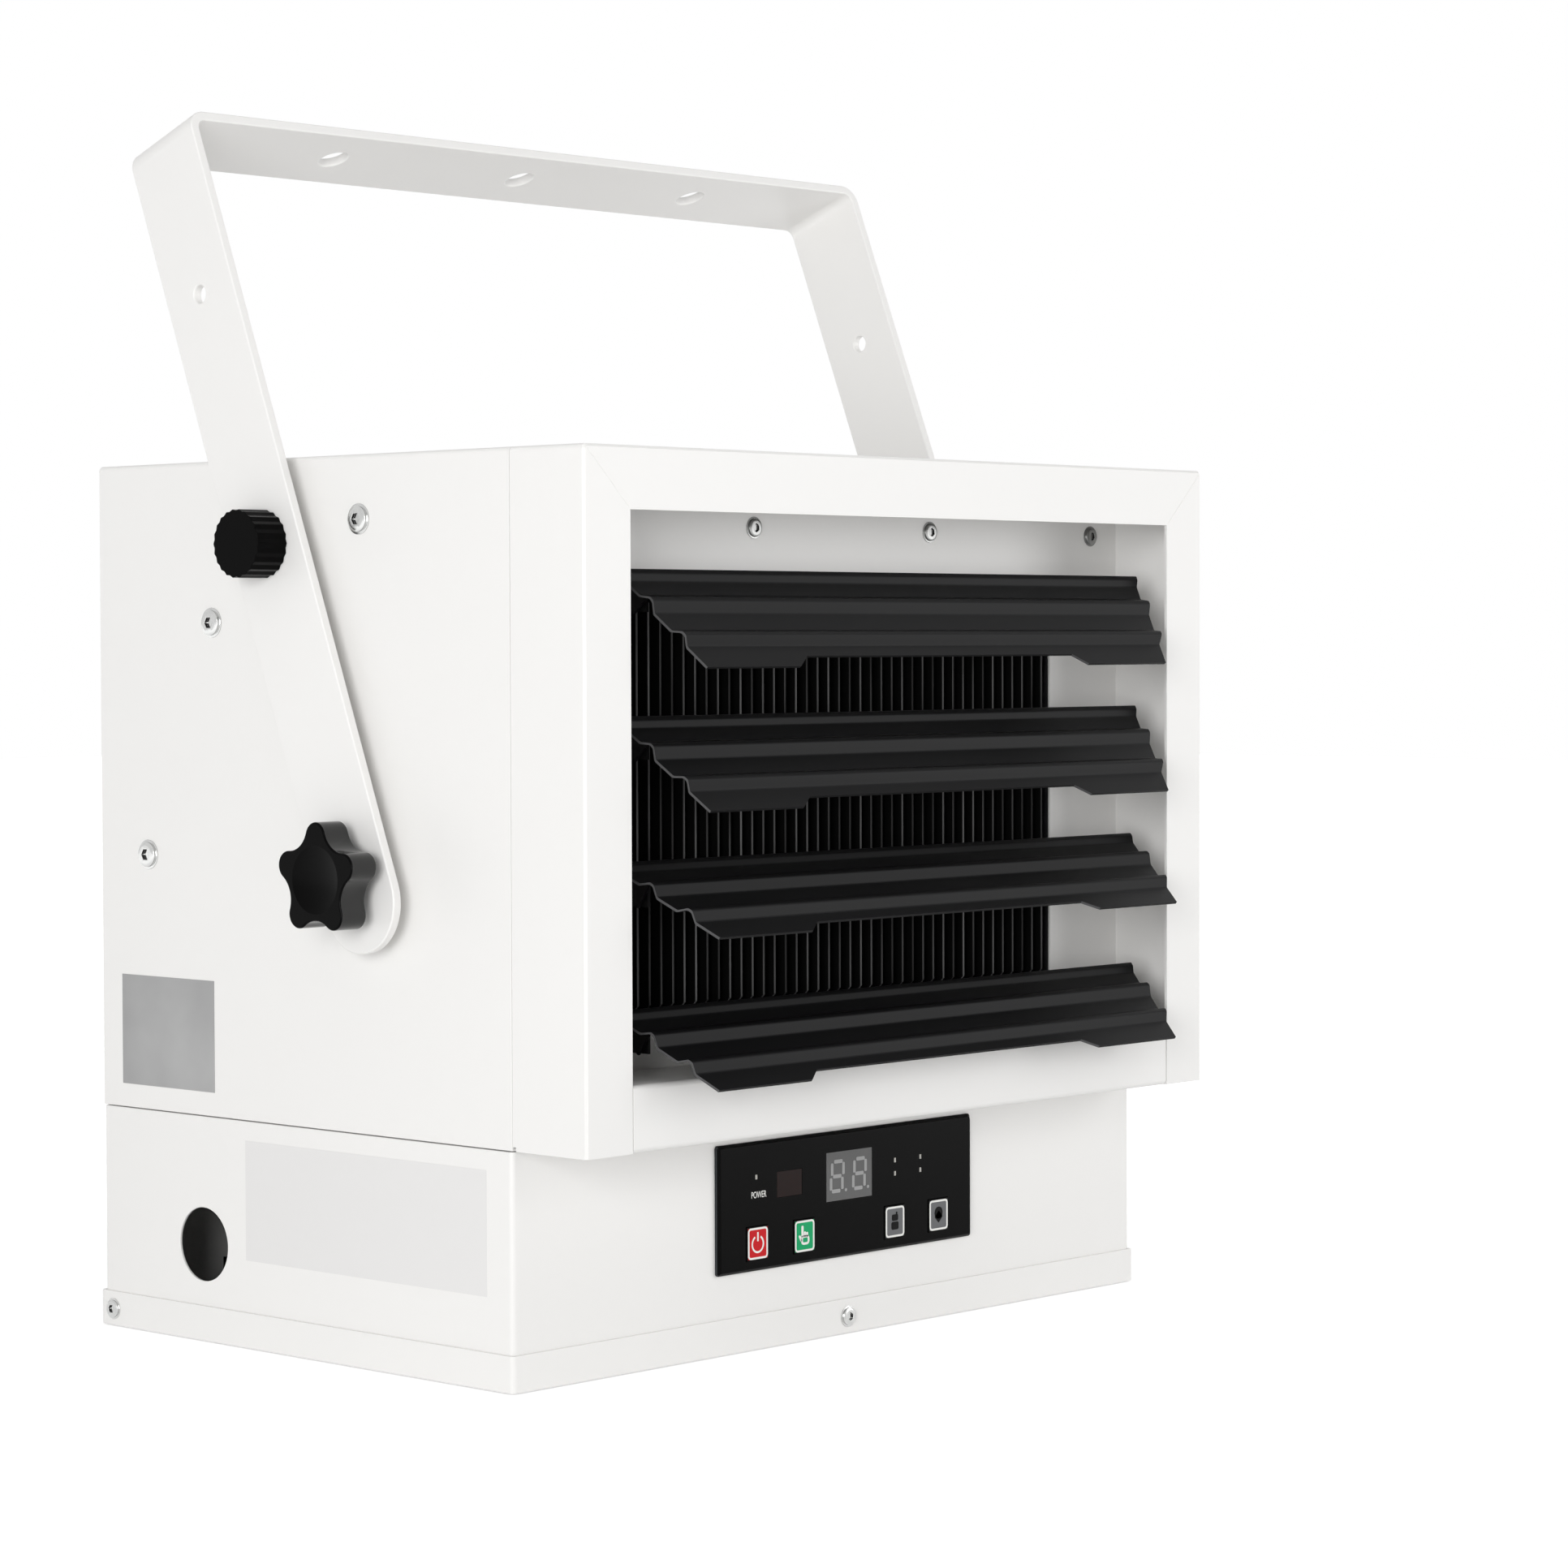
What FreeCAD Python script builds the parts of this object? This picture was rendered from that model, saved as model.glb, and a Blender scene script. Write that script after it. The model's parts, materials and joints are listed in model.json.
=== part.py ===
import FreeCAD, Part
import math
import os

os.makedirs("parts", exist_ok=True)
Vec = FreeCAD.Vector

# Ceiling or wall garage heater: sheet-steel cabinet on a control base, louvred hood, tilting bracket.
# Millimetres, +Z up, front towards -Y, origin in the middle of the base's underside.

# Cabinet, hood and base as a whole
cabinet_width = 370.0
cabinet_depth = 241.0
cabinet_height = 260.0
base_height = 90.0
hood_depth = 39.0
sheet = 1.2
bend_radius = 2.0
flange_width = 14.0
seam_gap = 0.4
slip = 0.1
running_gap = 0.05
face_gap = 0.15
overrun = 5.0
tiny = 1e-6
head_sides = 12
shank_sides = 6

# Hood mouth and its bottom rail
stile_width = 24.0
top_rail_height = 23.5
bottom_rail_height = 25.0
rail_gap = 0.4
mitre_width = 0.5
mitre_depth = 0.15
mitre_shares = (0.04, 0.92)
corner_relief = 1.6

# Outlet panel
outlet_half_width = 131.0
outlet_sill = 40.0
outlet_height = 172.0
outlet_corner = 6.0
panel_wing_inset = 9.0
panel_screw_drop = 27.5
panel_screw_pitch = 105.5
panel_flange_top = 36.0

# Rear panel with its intake slots
intake_margin = 8.0
slot_height = 7.0
slot_rows = 11
slot_bridge = 8.0
slot_columns = 3
rear_screw_inset = 8.0

# Louvres
louvre_pitch = 54.9
louvre_first_drop = 55.9
louvre_setback = 17.7
louvre_chord = 47.8
louvre_thickness = 1.0
louvre_end_gap = 5.0
louvre_taper = 17.9
louvre_tilts = (40.3, 43.6, 56.4, 54.5)
ridge_height = 3.1
bead_height = 1.6
ridge_shares = (0.272, 0.343, 0.38, 0.456, 0.63, 0.693, 0.73, 0.793)
bead_shares = (0.03, 0.075, 0.13)
taper_place_shares = (0.0, 0.272, 0.456, 0.63, 0.793, 1.0)
taper_shares = (0.0, 0.318, 0.413, 0.609, 0.777, 1.0)
notch_height = 5.0
notch_half_length = 80.0
notch_run = 7.0
hinge_offset = 10.0
hinge_rise = 6.0
ear_inset = 16.0
ear_width = 8.0
pin_radius = 1.5
hinge_foot = 10.0
hinge_arm_height = 10.0

# Fin block and heating elements
fin_count = 41
fin_thickness = 1.0
fin_depth = 58.0
fin_margin = 2.0
fin_corner = 7.0
fin_setback = 1.5
element_height = 8.0
element_depth = 34.0
element_share = 0.25
element_overhang = 14.0
terminal_width = 6.3
terminal_thickness = 0.8
terminal_length = 12.0
end_plate_gap = 4.0
end_plate_foot = 12.0
cutout_length = 24.0
cutout_width = 15.0
cutout_height = 9.0

# Fan and motor
fan_share = 0.4
orifice_clearance = 7.0
orifice_setback = 132.0
blade_count = 5
blade_chord = 78.0
blade_fold = 9.0
blade_thickness = 1.6
blade_pitch = 30.0
blade_root_width = 44.0
blade_tip_width = 88.0
blade_tip_share = 0.8
hub_radius = 22.0
hub_length = 30.0
shaft_radius = 4.0
shaft_bite = 20.0
stack_width = 84.0
stack_height = 70.0
stack_length = 32.0
coil_width = 46.0
coil_height = 24.0
coil_overhang = 9.0
bridge_width = 70.0
bridge_height = 18.0
bridge_length = 10.0
hub_gap = 6.0
strap_width = 34.0
strap_thickness = 2.0
strap_foot = 20.0
strap_half_span = 70.0

# Base, tray and cable hole
tray_lip = 14.0
base_flange = 12.0
cable_hole_radius = 14.75
cable_hole_height = 38.4
cable_hole_inset = 63.0
tray_screw_height = 6.8
tray_screw_inset = 7.0

# Control panel and keys
control_width = 153.0
control_height = 51.0
control_middle = 56.6
control_thickness = 2.2
control_bevel = 1.2
control_rim = 1.2
control_rim_depth = 6.0
control_margin = 1.0
key_width = 12.4
key_height = 13.4
key_proud = 0.4
key_flange = 1.0
key_flange_thickness = 1.2
key_travel = 0.5
key_stem = 3.0
key_stem_length = 4.5
key_row = 42.2
key_inner_share = 0.1784
key_outer_share = 0.3569
display_width = 27.4
display_height = 19.6
display_row = 64.0
lens_thickness = 1.4
lens_recess = 0.1
ir_width = 14.4
ir_height = 10.2
ir_share = 0.2327
lamp_width = 1.1
lamp_height = 1.8
power_lamp_share = 0.3582
power_lamp_row = 68.2
lamp_inner_share = 0.183
lamp_outer_share = 0.2863
lamp_upper_row = 67.2
lamp_lower_row = 61.8
board_thickness = 1.6
board_setback = 12.0
board_inset = 5.0
switch_size = 6.0
post_across = 5.5

# Power board and wiring pieces in the base
power_board_length = 150.0
power_board_width = 90.0
power_board_lift = 8.0
power_board_setback = 90.0
relay_length = 30.0
relay_width = 16.0
relay_height = 26.0
relay_gap = 8.0
transformer_length = 42.0
transformer_width = 36.0
transformer_height = 34.0
core_inset_share = 0.25
core_notch_share = 0.2
terminal_block_length = 66.0
terminal_block_width = 26.0
terminal_block_height = 22.0
terminal_rib = 3.0
terminal_step = 9.0
terminal_poles = 3
terminal_block_inset = 50.0
terminal_block_setback = 160.0
earth_screw_gap = 12.0

# Mounting bracket
strip_width = 40.0
strip_thickness = 4.0
arm_gap = 8.0
bracket_reach = 308.3
arm_tail = 9.5
bracket_bend_inner = 4.0
pivot_share = 0.3087
pivot_height = 189.0
bracket_tilt = 21.2
bar_hole_radius = 6.25
bar_hole_pitch = 105.9
arm_hole_radius = 3.5
arm_hole_reach = 242.1
lock_rear_margin = 30.1
lock_top_margin = 24.5
lock_angles = (3.5, 44.6, 88.3)
plug_head_radius = 6.0
plug_head = 2.0
plug_shank_radius = 3.0
plug_length = 9.0
spacer_radius = 9.0

# Star knobs
star_radius = 21.8
star_lobe_radius = 5.5
star_valley = 15.5
star_lobes = 5
star_thickness = 12.5
star_hub_radius = 9.0
star_hub = 6.0
star_stud_radius = 4.0
star_stud_inside = 12.0
nut_across = 15.0
nut_height = 7.0
nut_sides = 6

# Knurled thumb knobs
thumb_radius = 13.3
thumb_knurl = 0.6
thumb_ribs = 22
thumb_height = 14.5
thumb_stud_radius = 3.0

# Small screws in sheet
screw_head_radius = 4.3
screw_head = 1.8
screw_shank_radius = 2.0
screw_length = 9.0

# Places worked out from the sizes above
half_width = cabinet_width / 2
rear_y = cabinet_depth / 2
front_y = -cabinet_depth / 2
hood_y = front_y - hood_depth
seam_z = base_height
top_z = base_height + cabinet_height
inside_x = half_width - sheet
mouth_half = half_width - stile_width
mouth_top = top_z - top_rail_height
mouth_sill = seam_z + bottom_rail_height
outlet_z = seam_z + outlet_sill
panel_back_y = front_y + sheet
louvre_half_length = mouth_half - louvre_end_gap
fan_height = base_height + cabinet_height / 2
fan_radius = cabinet_height * fan_share
intake_radius = fan_radius + intake_margin
pivot_y = front_y + cabinet_depth * pivot_share
lock_radius = min(rear_y - lock_rear_margin - pivot_y, top_z - lock_top_margin - pivot_height)
arm_inner = half_width + arm_gap
arm_outer = arm_inner + strip_thickness
floor_z = seam_z + sheet + slip
x_axis = Vec(1, 0, 0)
y_axis = Vec(0, 1, 0)
z_axis = Vec(0, 0, 1)
middle = Vec(0, 0, 0)


def block(x0, x1, y0, y1, z0, z1):
    return Part.makeBox(x1 - x0, y1 - y0, z1 - z0, Vec(x0, y0, z0))


def rod(radius, start, direction, length):
    return Part.makeCylinder(radius, length, start, direction)


def both_sides(shape):
    return [shape, mirrored(shape)]


def mirrored(shape):
    return shape.mirror(middle, x_axis)


def fused(shapes):
    return shapes[0].multiFuse(shapes[1:]).removeSplitter()


def rounded_face(points, radii):
    # flat face through the points, with an arc of the given radius at each corner
    starts = []
    turns = []
    ends = []
    for i, corner in enumerate(points):
        back = (points[i - 1] - corner).normalize()
        ahead = (points[(i + 1) % len(points)] - corner).normalize()
        half_angle = back.getAngle(ahead) / 2
        reach = radii[i] / math.tan(half_angle)
        bisector = (back + ahead).normalize()
        starts.append(corner + back * reach)
        turns.append(corner + bisector * (radii[i] / math.sin(half_angle) - radii[i]))
        ends.append(corner + ahead * reach)
    edges = []
    for i in range(len(points)):
        if radii[i] > 0:
            edges.append(Part.Arc(starts[i], turns[i], ends[i]).toShape())
        following = starts[(i + 1) % len(points)]
        if following.distanceToPoint(ends[i]) > tiny:
            edges.append(Part.LineSegment(ends[i], following).toShape())
    return Part.Face(Part.Wire(edges))


def rectangle_xy(half_x, half_y, z, radius):
    corners = [(-half_x, -half_y), (half_x, -half_y), (half_x, half_y), (-half_x, half_y)]
    return rounded_face([Vec(x, y, z) for x, y in corners], [radius] * len(corners))


def rectangle_xz(x0, x1, y, z0, z1, radius):
    points = [Vec(x0, y, z0), Vec(x1, y, z0), Vec(x1, y, z1), Vec(x0, y, z1)]
    return rounded_face(points, [radius] * len(points))


def straight_face(points):
    return Part.Face(Part.makePolygon(points + points[:1]))


def frame_plate(x_out, x_in, y0, y1, z0, z1, z_in):
    # plate with a window, open at the bottom
    plate = block(-x_out, x_out, y0, y1, z0, z1)
    return plate.cut(block(-x_in, x_in, y0 - overrun, y1 + overrun, z0 - overrun, z_in))


def faceted_rod(sides, radius, start, direction, length):
    # small repeated screws, pins and nuts: a prism with few sides, its corners on the radius
    points = []
    for i in range(sides):
        turn = 2 * math.pi * i / sides
        points.append(Vec(radius * math.cos(turn), radius * math.sin(turn), 0))
    prism = straight_face(points).extrude(z_axis * length)
    prism.Placement = FreeCAD.Placement(start, FreeCAD.Rotation(z_axis, direction))
    return prism


def faceted_hole(radius, start, direction, length):
    # its flats clear a round stud of the radius
    return faceted_rod(head_sides, radius / math.cos(math.pi / head_sides), start, direction, length)


def screw(seat, outward, head_radius, head_height, shank_radius, length):
    # seat lies under the head
    head = faceted_rod(head_sides, head_radius, seat, outward, head_height)
    shank = faceted_rod(shank_sides, shank_radius, seat - outward * length, outward, length)
    return fused([head, shank])


def sheet_screw(seat, outward):
    return screw(seat, outward, screw_head_radius, screw_head, screw_shank_radius, screw_length)


def screw_hole(seat, outward, shank_radius, depth):
    return faceted_rod(shank_sides, shank_radius + slip, seat - outward * depth, outward, depth + overrun)


def stud_hole(seat, outward, stud_radius, depth):
    return faceted_hole(stud_radius + slip, seat - outward * depth, outward, depth + overrun)


def lock_place(angle, x):
    turn = math.radians(angle)
    return Vec(x, pivot_y + lock_radius * math.sin(turn), pivot_height + lock_radius * math.cos(turn))


def panel_screw_places():
    z = top_z - panel_screw_drop
    return [Vec((i - 1.5) * panel_screw_pitch, front_y, z) for i in range(4)]


def rear_screw_places():
    x = inside_x - rear_screw_inset
    low = seam_z + sheet + rear_screw_inset
    high = top_z - sheet - rear_screw_inset
    return [Vec(side * x, rear_y, z) for side in (-1, 1) for z in (low, high)]


def tray_screw_places():
    # one in the front lip, one near the rear end of each side lip
    wall = half_width + slip + sheet
    y = rear_y - tray_screw_inset
    front = [(Vec(0, front_y - slip - sheet, tray_screw_height), y_axis * -1)]
    return front + [(Vec(side * wall, y, tray_screw_height), x_axis * side) for side in (-1, 1)]


def cabinet_wrap():
    rim = half_width - flange_width
    points = [
        (-rim, seam_z), (-half_width, seam_z), (-half_width, top_z), (half_width, top_z),
        (half_width, seam_z), (rim, seam_z), (rim, seam_z + sheet), (inside_x, seam_z + sheet),
        (inside_x, top_z - sheet), (-inside_x, top_z - sheet),
        (-inside_x, seam_z + sheet), (-rim, seam_z + sheet),
    ]
    radii = [0] * len(points)
    radii[2] = bend_radius
    radii[3] = bend_radius
    section = rounded_face([Vec(x, front_y, z) for x, z in points], radii)
    wrap = section.extrude(y_axis * cabinet_depth)
    low = seam_z + sheet
    high = top_z - sheet
    front = panel_back_y + slip
    rear = rear_y - sheet - slip
    front_frame = frame_plate(inside_x, rim, front, front + sheet, low, high, top_z - panel_flange_top)
    rear_frame = frame_plate(inside_x, rim, rear - sheet, rear, low, high, top_z - flange_width)
    wrap = fused([wrap, front_frame, rear_frame])
    holes = []
    for side in (-1, 1):
        outward = x_axis * side
        pivot = Vec(side * half_width, pivot_y, pivot_height)
        holes.append(stud_hole(pivot, outward, star_stud_radius, overrun))
        for angle in lock_angles:
            place = lock_place(angle, side * half_width)
            holes.append(screw_hole(place, outward, plug_shank_radius, overrun))
        thumb = lock_place(bracket_tilt, side * half_width)
        holes.append(stud_hole(thumb, outward, thumb_stud_radius, overrun))
    for place in panel_screw_places():
        holes.append(screw_hole(place, y_axis * -1, screw_shank_radius, screw_length))
    for place in rear_screw_places():
        holes.append(screw_hole(place, y_axis, screw_shank_radius, screw_length))
    return wrap.cut(holes)


def rear_panel():
    x = inside_x - slip
    plate = block(-x, x, rear_y - sheet, rear_y, seam_z + sheet + slip, top_z - sheet - slip)
    cuts = []
    pitch = 2 * intake_radius / (slot_rows + 1)
    for row in range(slot_rows):
        rise = (row + 1) * pitch - intake_radius
        z = fan_height + rise
        half_row = math.sqrt(intake_radius ** 2 - rise ** 2)
        step = 2 * half_row / slot_columns
        for column in range(slot_columns):
            left = -half_row + column * step + slot_bridge / 2
            right = left + step - slot_bridge
            cuts.append(block(left, right, rear_y - sheet - overrun, rear_y + overrun,
                              z - slot_height / 2, z + slot_height / 2))
    for place in rear_screw_places():
        cuts.append(screw_hole(place, y_axis, screw_shank_radius, screw_length))
    return plate.cut(cuts)


def rear_panel_screws():
    return [sheet_screw(place, y_axis) for place in rear_screw_places()]


def front_hood():
    # outer skin, front face with its mouth, and a tab under each stile
    depth = hood_depth - seam_gap
    outer = [Vec(x, hood_y, z) for x, z in (
        (-half_width, seam_z), (half_width, seam_z), (half_width, top_z), (-half_width, top_z))]
    skin = rounded_face(outer, [0, 0, bend_radius, bend_radius]).extrude(y_axis * depth)
    front_edges = [
        edge for edge in skin.Edges
        if edge.BoundBox.YMax < hood_y + tiny and edge.BoundBox.ZMax > seam_z + tiny
    ]
    skin = skin.makeChamfer(bend_radius / 2, front_edges)
    hollow = block(-inside_x, inside_x, hood_y + sheet, rear_y, seam_z + sheet, top_z - sheet)
    mouth = block(-mouth_half, mouth_half, hood_y - overrun, rear_y, seam_z - overrun, mouth_top)
    hood = skin.cut([hollow, mouth])
    cuts = []
    for side in (-1, 1):
        corner = Vec(side * mouth_half, hood_y - overrun, mouth_top)
        run = Vec(side * stile_width, 0, top_rail_height)
        across = run.cross(y_axis).normalize() * (mitre_width / 2)
        start, end = [corner + run * share for share in mitre_shares]
        outline = [start + across, end + across, end - across, start - across]
        cuts.append(straight_face(outline).extrude(y_axis * (overrun + mitre_depth)))
        x0, x1 = sorted((side * (half_width + overrun), side * (inside_x - overrun)))
        y1 = front_y - seam_gap
        cuts.append(block(x0, x1, y1 - corner_relief, y1 + overrun, seam_z - overrun, seam_z + corner_relief))
    return hood.cut(cuts)


def hood_bottom_rail():
    # channel between the stiles: face, underside and sill
    back_y = front_y - slip
    points = [
        (back_y, seam_z), (hood_y, seam_z), (hood_y, mouth_sill), (back_y, mouth_sill),
        (back_y, mouth_sill - sheet), (hood_y + sheet, mouth_sill - sheet),
        (hood_y + sheet, seam_z + sheet), (back_y, seam_z + sheet),
    ]
    half = mouth_half - rail_gap
    outline = [Vec(-half, y, z) for y, z in points]
    section = rounded_face(outline, [0, bend_radius, bend_radius, 0, 0, 0, 0, 0])
    return section.extrude(x_axis * (2 * half))


def outlet_panel():
    # recessed panel with its opening, and a wing folded forward at each side
    wing_x = half_width - panel_wing_inset
    wing_y = hood_y + sheet + slip
    low = floor_z + sheet + slip
    high = top_z - sheet - bend_radius
    points = [
        (-wing_x - sheet, wing_y), (-wing_x - sheet, panel_back_y), (wing_x + sheet, panel_back_y),
        (wing_x + sheet, wing_y), (wing_x, wing_y), (wing_x, front_y), (-wing_x, front_y), (-wing_x, wing_y),
    ]
    panel = straight_face([Vec(x, y, low) for x, y in points]).extrude(z_axis * (high - low))
    opening = rectangle_xz(-outlet_half_width, outlet_half_width, front_y - overrun,
                           outlet_z, outlet_z + outlet_height, outlet_corner)
    cuts = [opening.extrude(y_axis * (sheet + 2 * overrun))]
    for place in panel_screw_places():
        cuts.append(screw_hole(place, y_axis * -1, screw_shank_radius, screw_length))
    return panel.cut(cuts)


def outlet_panel_screws():
    return [sheet_screw(place, y_axis * -1) for place in panel_screw_places()]


def louvre_pivots():
    y = hood_y + louvre_setback
    z = top_z - louvre_first_drop
    return [Vec(0, y, z - i * louvre_pitch) for i in range(len(louvre_tilts))]


def ear_plane():
    return louvre_half_length - ear_inset


def louvre_blade():
    # hanging straight down, hinge axis along X through the middle
    face_y = -hinge_offset
    top = hinge_rise
    heights = (0, ridge_height, ridge_height, 0)
    line = [(0, 0), (bead_shares[0], bead_height), (bead_shares[1], bead_height), (bead_shares[2], 0)]
    line = line + list(zip(ridge_shares, heights + heights)) + [(1, 0)]
    front = [Vec(-louvre_half_length, face_y - rise, top - share * louvre_chord) for share, rise in line]
    back = [point + y_axis * louvre_thickness for point in reversed(front)]
    blade = straight_face(front + back).extrude(x_axis * (2 * louvre_half_length))
    right = [
        (louvre_half_length - louvre_taper * cut, top - place * louvre_chord)
        for place, cut in zip(taper_place_shares, taper_shares)
    ]
    bottom = top - louvre_chord
    right = right + [(notch_half_length + notch_run, bottom), (notch_half_length, bottom + notch_height)]
    left = [(-x, z) for x, z in reversed(right)]
    reach = ridge_height + louvre_thickness + overrun
    outline = [Vec(x, face_y - reach, z) for x, z in right + left]
    return blade.common(straight_face(outline).extrude(y_axis * (2 * reach)))


def louvre_ear():
    # tab folded back from the blade, with a hinge pin that points inwards
    x = ear_plane()
    half = ear_width / 2
    tab = block(x, x + sheet, louvre_thickness / 2 - hinge_offset, half, -half, half)
    return fused([tab, faceted_rod(head_sides, pin_radius, Vec(x, 0, 0), x_axis * -1, sheet + 2 * face_gap)])


def louvre(index):
    shape = fused([louvre_blade()] + both_sides(louvre_ear()))
    shape.rotate(middle, x_axis, -louvre_tilts[index])
    shape.translate(louvre_pivots()[index])
    return shape


def louvre_brackets():
    # angle on the outlet panel; the louvre's pin snaps into the slot at its front end
    outer = ear_plane() - face_gap
    half = hinge_arm_height / 2
    grip = pin_radius + running_gap
    shapes = []
    for pivot in louvre_pivots():
        y0 = pivot.y - half
        arm = block(outer - sheet, outer, y0, front_y, pivot.z - half, pivot.z + half)
        slot = block(outer - sheet - overrun, outer + overrun, pivot.y - grip, pivot.y + grip,
                     pivot.z - grip, pivot.z + half + overrun)
        foot = block(outer, outer + hinge_foot, front_y - sheet, front_y, pivot.z - half, pivot.z + half)
        shapes = shapes + both_sides(fused([arm.cut(slot), foot]))
    return shapes


def fin_span():
    return outlet_z + fin_margin, outlet_z + outlet_height - fin_margin


def element_places():
    low, high = fin_span()
    rise = (high - low) * element_share
    return [high - rise, low + rise]


def element_front():
    return panel_back_y + fin_setback + (fin_depth - element_depth) / 2


def element_slot(z, x0, x1):
    # open at the back, where the strip is pushed in
    half = element_height / 2 + slip
    return block(x0, x1, element_front() - slip, 0, z - half, z + half)


def heater_fins():
    low, high = fin_span()
    y0 = panel_back_y + fin_setback
    y1 = y0 + fin_depth
    x0 = fin_margin - outlet_half_width
    cut = fin_corner
    outline = [(y0 + cut, low), (y1, low), (y1, high), (y0 + cut, high), (y0, high - cut), (y0, low + cut)]
    fin = straight_face([Vec(x0, y, z) for y, z in outline]).extrude(x_axis * fin_thickness)
    fin = fin.cut([element_slot(z, x0 - overrun, x0 + overrun) for z in element_places()])
    step = (2 * (outlet_half_width - fin_margin) - fin_thickness) / (fin_count - 1)
    fins = []
    for i in range(fin_count):
        copy = fin.copy()
        copy.translate(x_axis * (i * step))
        fins.append(copy)
    return fins


def end_plate_x():
    return outlet_half_width + end_plate_gap


def element_end_plate():
    # right-hand plate; its foot lies on the back of the outlet panel
    x = end_plate_x()
    low, high = fin_span()
    y0 = panel_back_y + slip
    y1 = y0 + fin_setback + fin_depth
    foot = x + end_plate_foot
    points = [(foot, y0), (x, y0), (x, y1), (x + sheet, y1), (x + sheet, y0 + sheet), (foot, y0 + sheet)]
    plate = straight_face([Vec(a, b, low) for a, b in points]).extrude(z_axis * (high - low))
    return plate.cut([element_slot(z, x - overrun, x + sheet + overrun) for z in element_places()])


def heating_element(index):
    # flat sheathed strip with a push-on tab at each end
    z = element_places()[index]
    y = element_front()
    half_length = end_plate_x() + element_overhang
    half = element_height / 2
    strip = block(-half_length, half_length, y, y + element_depth, z - half, z + half)
    return fused([strip] + both_sides(push_on_tab(Vec(half_length, y + element_depth / 2, z), 1)))


def push_on_tab(root, side):
    # flat terminal that points out along X
    x0, x1 = sorted((root.x, root.x + side * terminal_length))
    half_y = terminal_width / 2
    half_z = terminal_thickness / 2
    return block(x0, x1, root.y - half_y, root.y + half_y, root.z - half_z, root.z + half_z)


def thermal_cutout():
    # limiter on the outside of the left end plate, between the elements
    upper, lower = element_places()
    z = (upper + lower) / 2
    y = element_front() + element_depth / 2
    x = -end_plate_x() - sheet - slip
    body = block(x - cutout_height, x, y - cutout_width / 2, y + cutout_width / 2,
                 z - cutout_length / 2, z + cutout_length / 2)
    rise = Vec(0, 0, cutout_length / 4)
    root = Vec(x - cutout_height, y, z)
    return fused([body, push_on_tab(root + rise, -1), push_on_tab(root - rise, -1)])


def chamber_floor():
    x = inside_x - slip
    gap = 2 * (sheet + slip)
    plate = block(-x, x, front_y + gap, rear_y - gap, floor_z, floor_z + sheet)
    slot = block(outlet_half_width, outlet_half_width + flange_width * 2, 0, strip_width,
                 floor_z - overrun, floor_z + sheet + overrun)
    return plate.cut(slot)


def orifice_y():
    return front_y + orifice_setback


def fan_orifice():
    x = inside_x - slip
    y = orifice_y()
    plate = block(-x, x, y, y + sheet, floor_z + sheet + slip, top_z - sheet - slip)
    hole = rod(fan_radius + orifice_clearance, Vec(0, y - overrun, fan_height), y_axis, sheet + 2 * overrun)
    return plate.cut(hole)


def fan_middle():
    return Vec(0, orifice_y() + sheet / 2, fan_height)


def fan_blade():
    # folded, pitched blades on a hub, turning about Y
    half = blade_chord / 2
    root = hub_radius / 2
    lower = [Vec(-half, 0, root), Vec(0, blade_fold, root), Vec(half, 0, root)]
    upper = [point + y_axis * blade_thickness for point in reversed(lower)]
    blade = straight_face(lower + upper).extrude(z_axis * (fan_radius - root))
    blade.translate(y_axis * (-blade_fold / 2))
    blade.rotate(middle, z_axis, blade_pitch)
    tip = fan_radius * blade_tip_share
    right = [
        (blade_root_width / 2, root), (blade_tip_width / 2, tip), (blade_tip_width / 4, fan_radius),
    ]
    left = [(-x, z) for x, z in reversed(right)]
    outline = [Vec(x, -half, z) for x, z in right + left]
    blade = blade.common(straight_face(outline).extrude(y_axis * blade_chord))
    shapes = [faceted_rod(head_sides, hub_radius, Vec(0, -hub_length / 2, 0), y_axis, hub_length)]
    for i in range(blade_count):
        copy = blade.copy()
        copy.rotate(middle, y_axis, i * 360 / blade_count)
        shapes.append(copy)
    bore = rod(shaft_radius + slip, Vec(0, hub_length / 2 - shaft_bite, 0), y_axis, hub_length)
    fan = fused(shapes).cut(bore)
    fan.translate(fan_middle())
    return fan


def bridge_y():
    # front face of the motor's front bearing bridge
    return fan_middle().y + hub_length / 2 + hub_gap


def motor_back():
    return bridge_y() + 2 * bridge_length + stack_length


def fan_shaft():
    start = fan_middle() + y_axis * (hub_length / 2 - shaft_bite + slip)
    end = bridge_y() + bridge_length + stack_length
    return rod(shaft_radius, start, y_axis, end - start.y)


def fan_motor():
    # shaded-pole motor: laminated stack, coil around its lower limb, a bearing bridge at each end
    y0 = bridge_y()
    y1 = y0 + bridge_length
    y2 = y1 + stack_length
    low = fan_height - stack_height / 2
    stack = block(-stack_width / 2, stack_width / 2, y1, y2, low, low + stack_height)
    coil = block(-coil_width / 2, coil_width / 2, y1 - coil_overhang, y2 + coil_overhang,
                 low - coil_height / 2, low + coil_height / 2)
    bridge = block(-bridge_width / 2, bridge_width / 2, y0, motor_back(),
                   fan_height - bridge_height / 2, fan_height + bridge_height / 2)
    start = y0 - overrun
    bore = rod(shaft_radius + running_gap, Vec(0, start, fan_height), y_axis, y2 - start + face_gap)
    return fused([stack, coil, bridge]).cut(bore)


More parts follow.
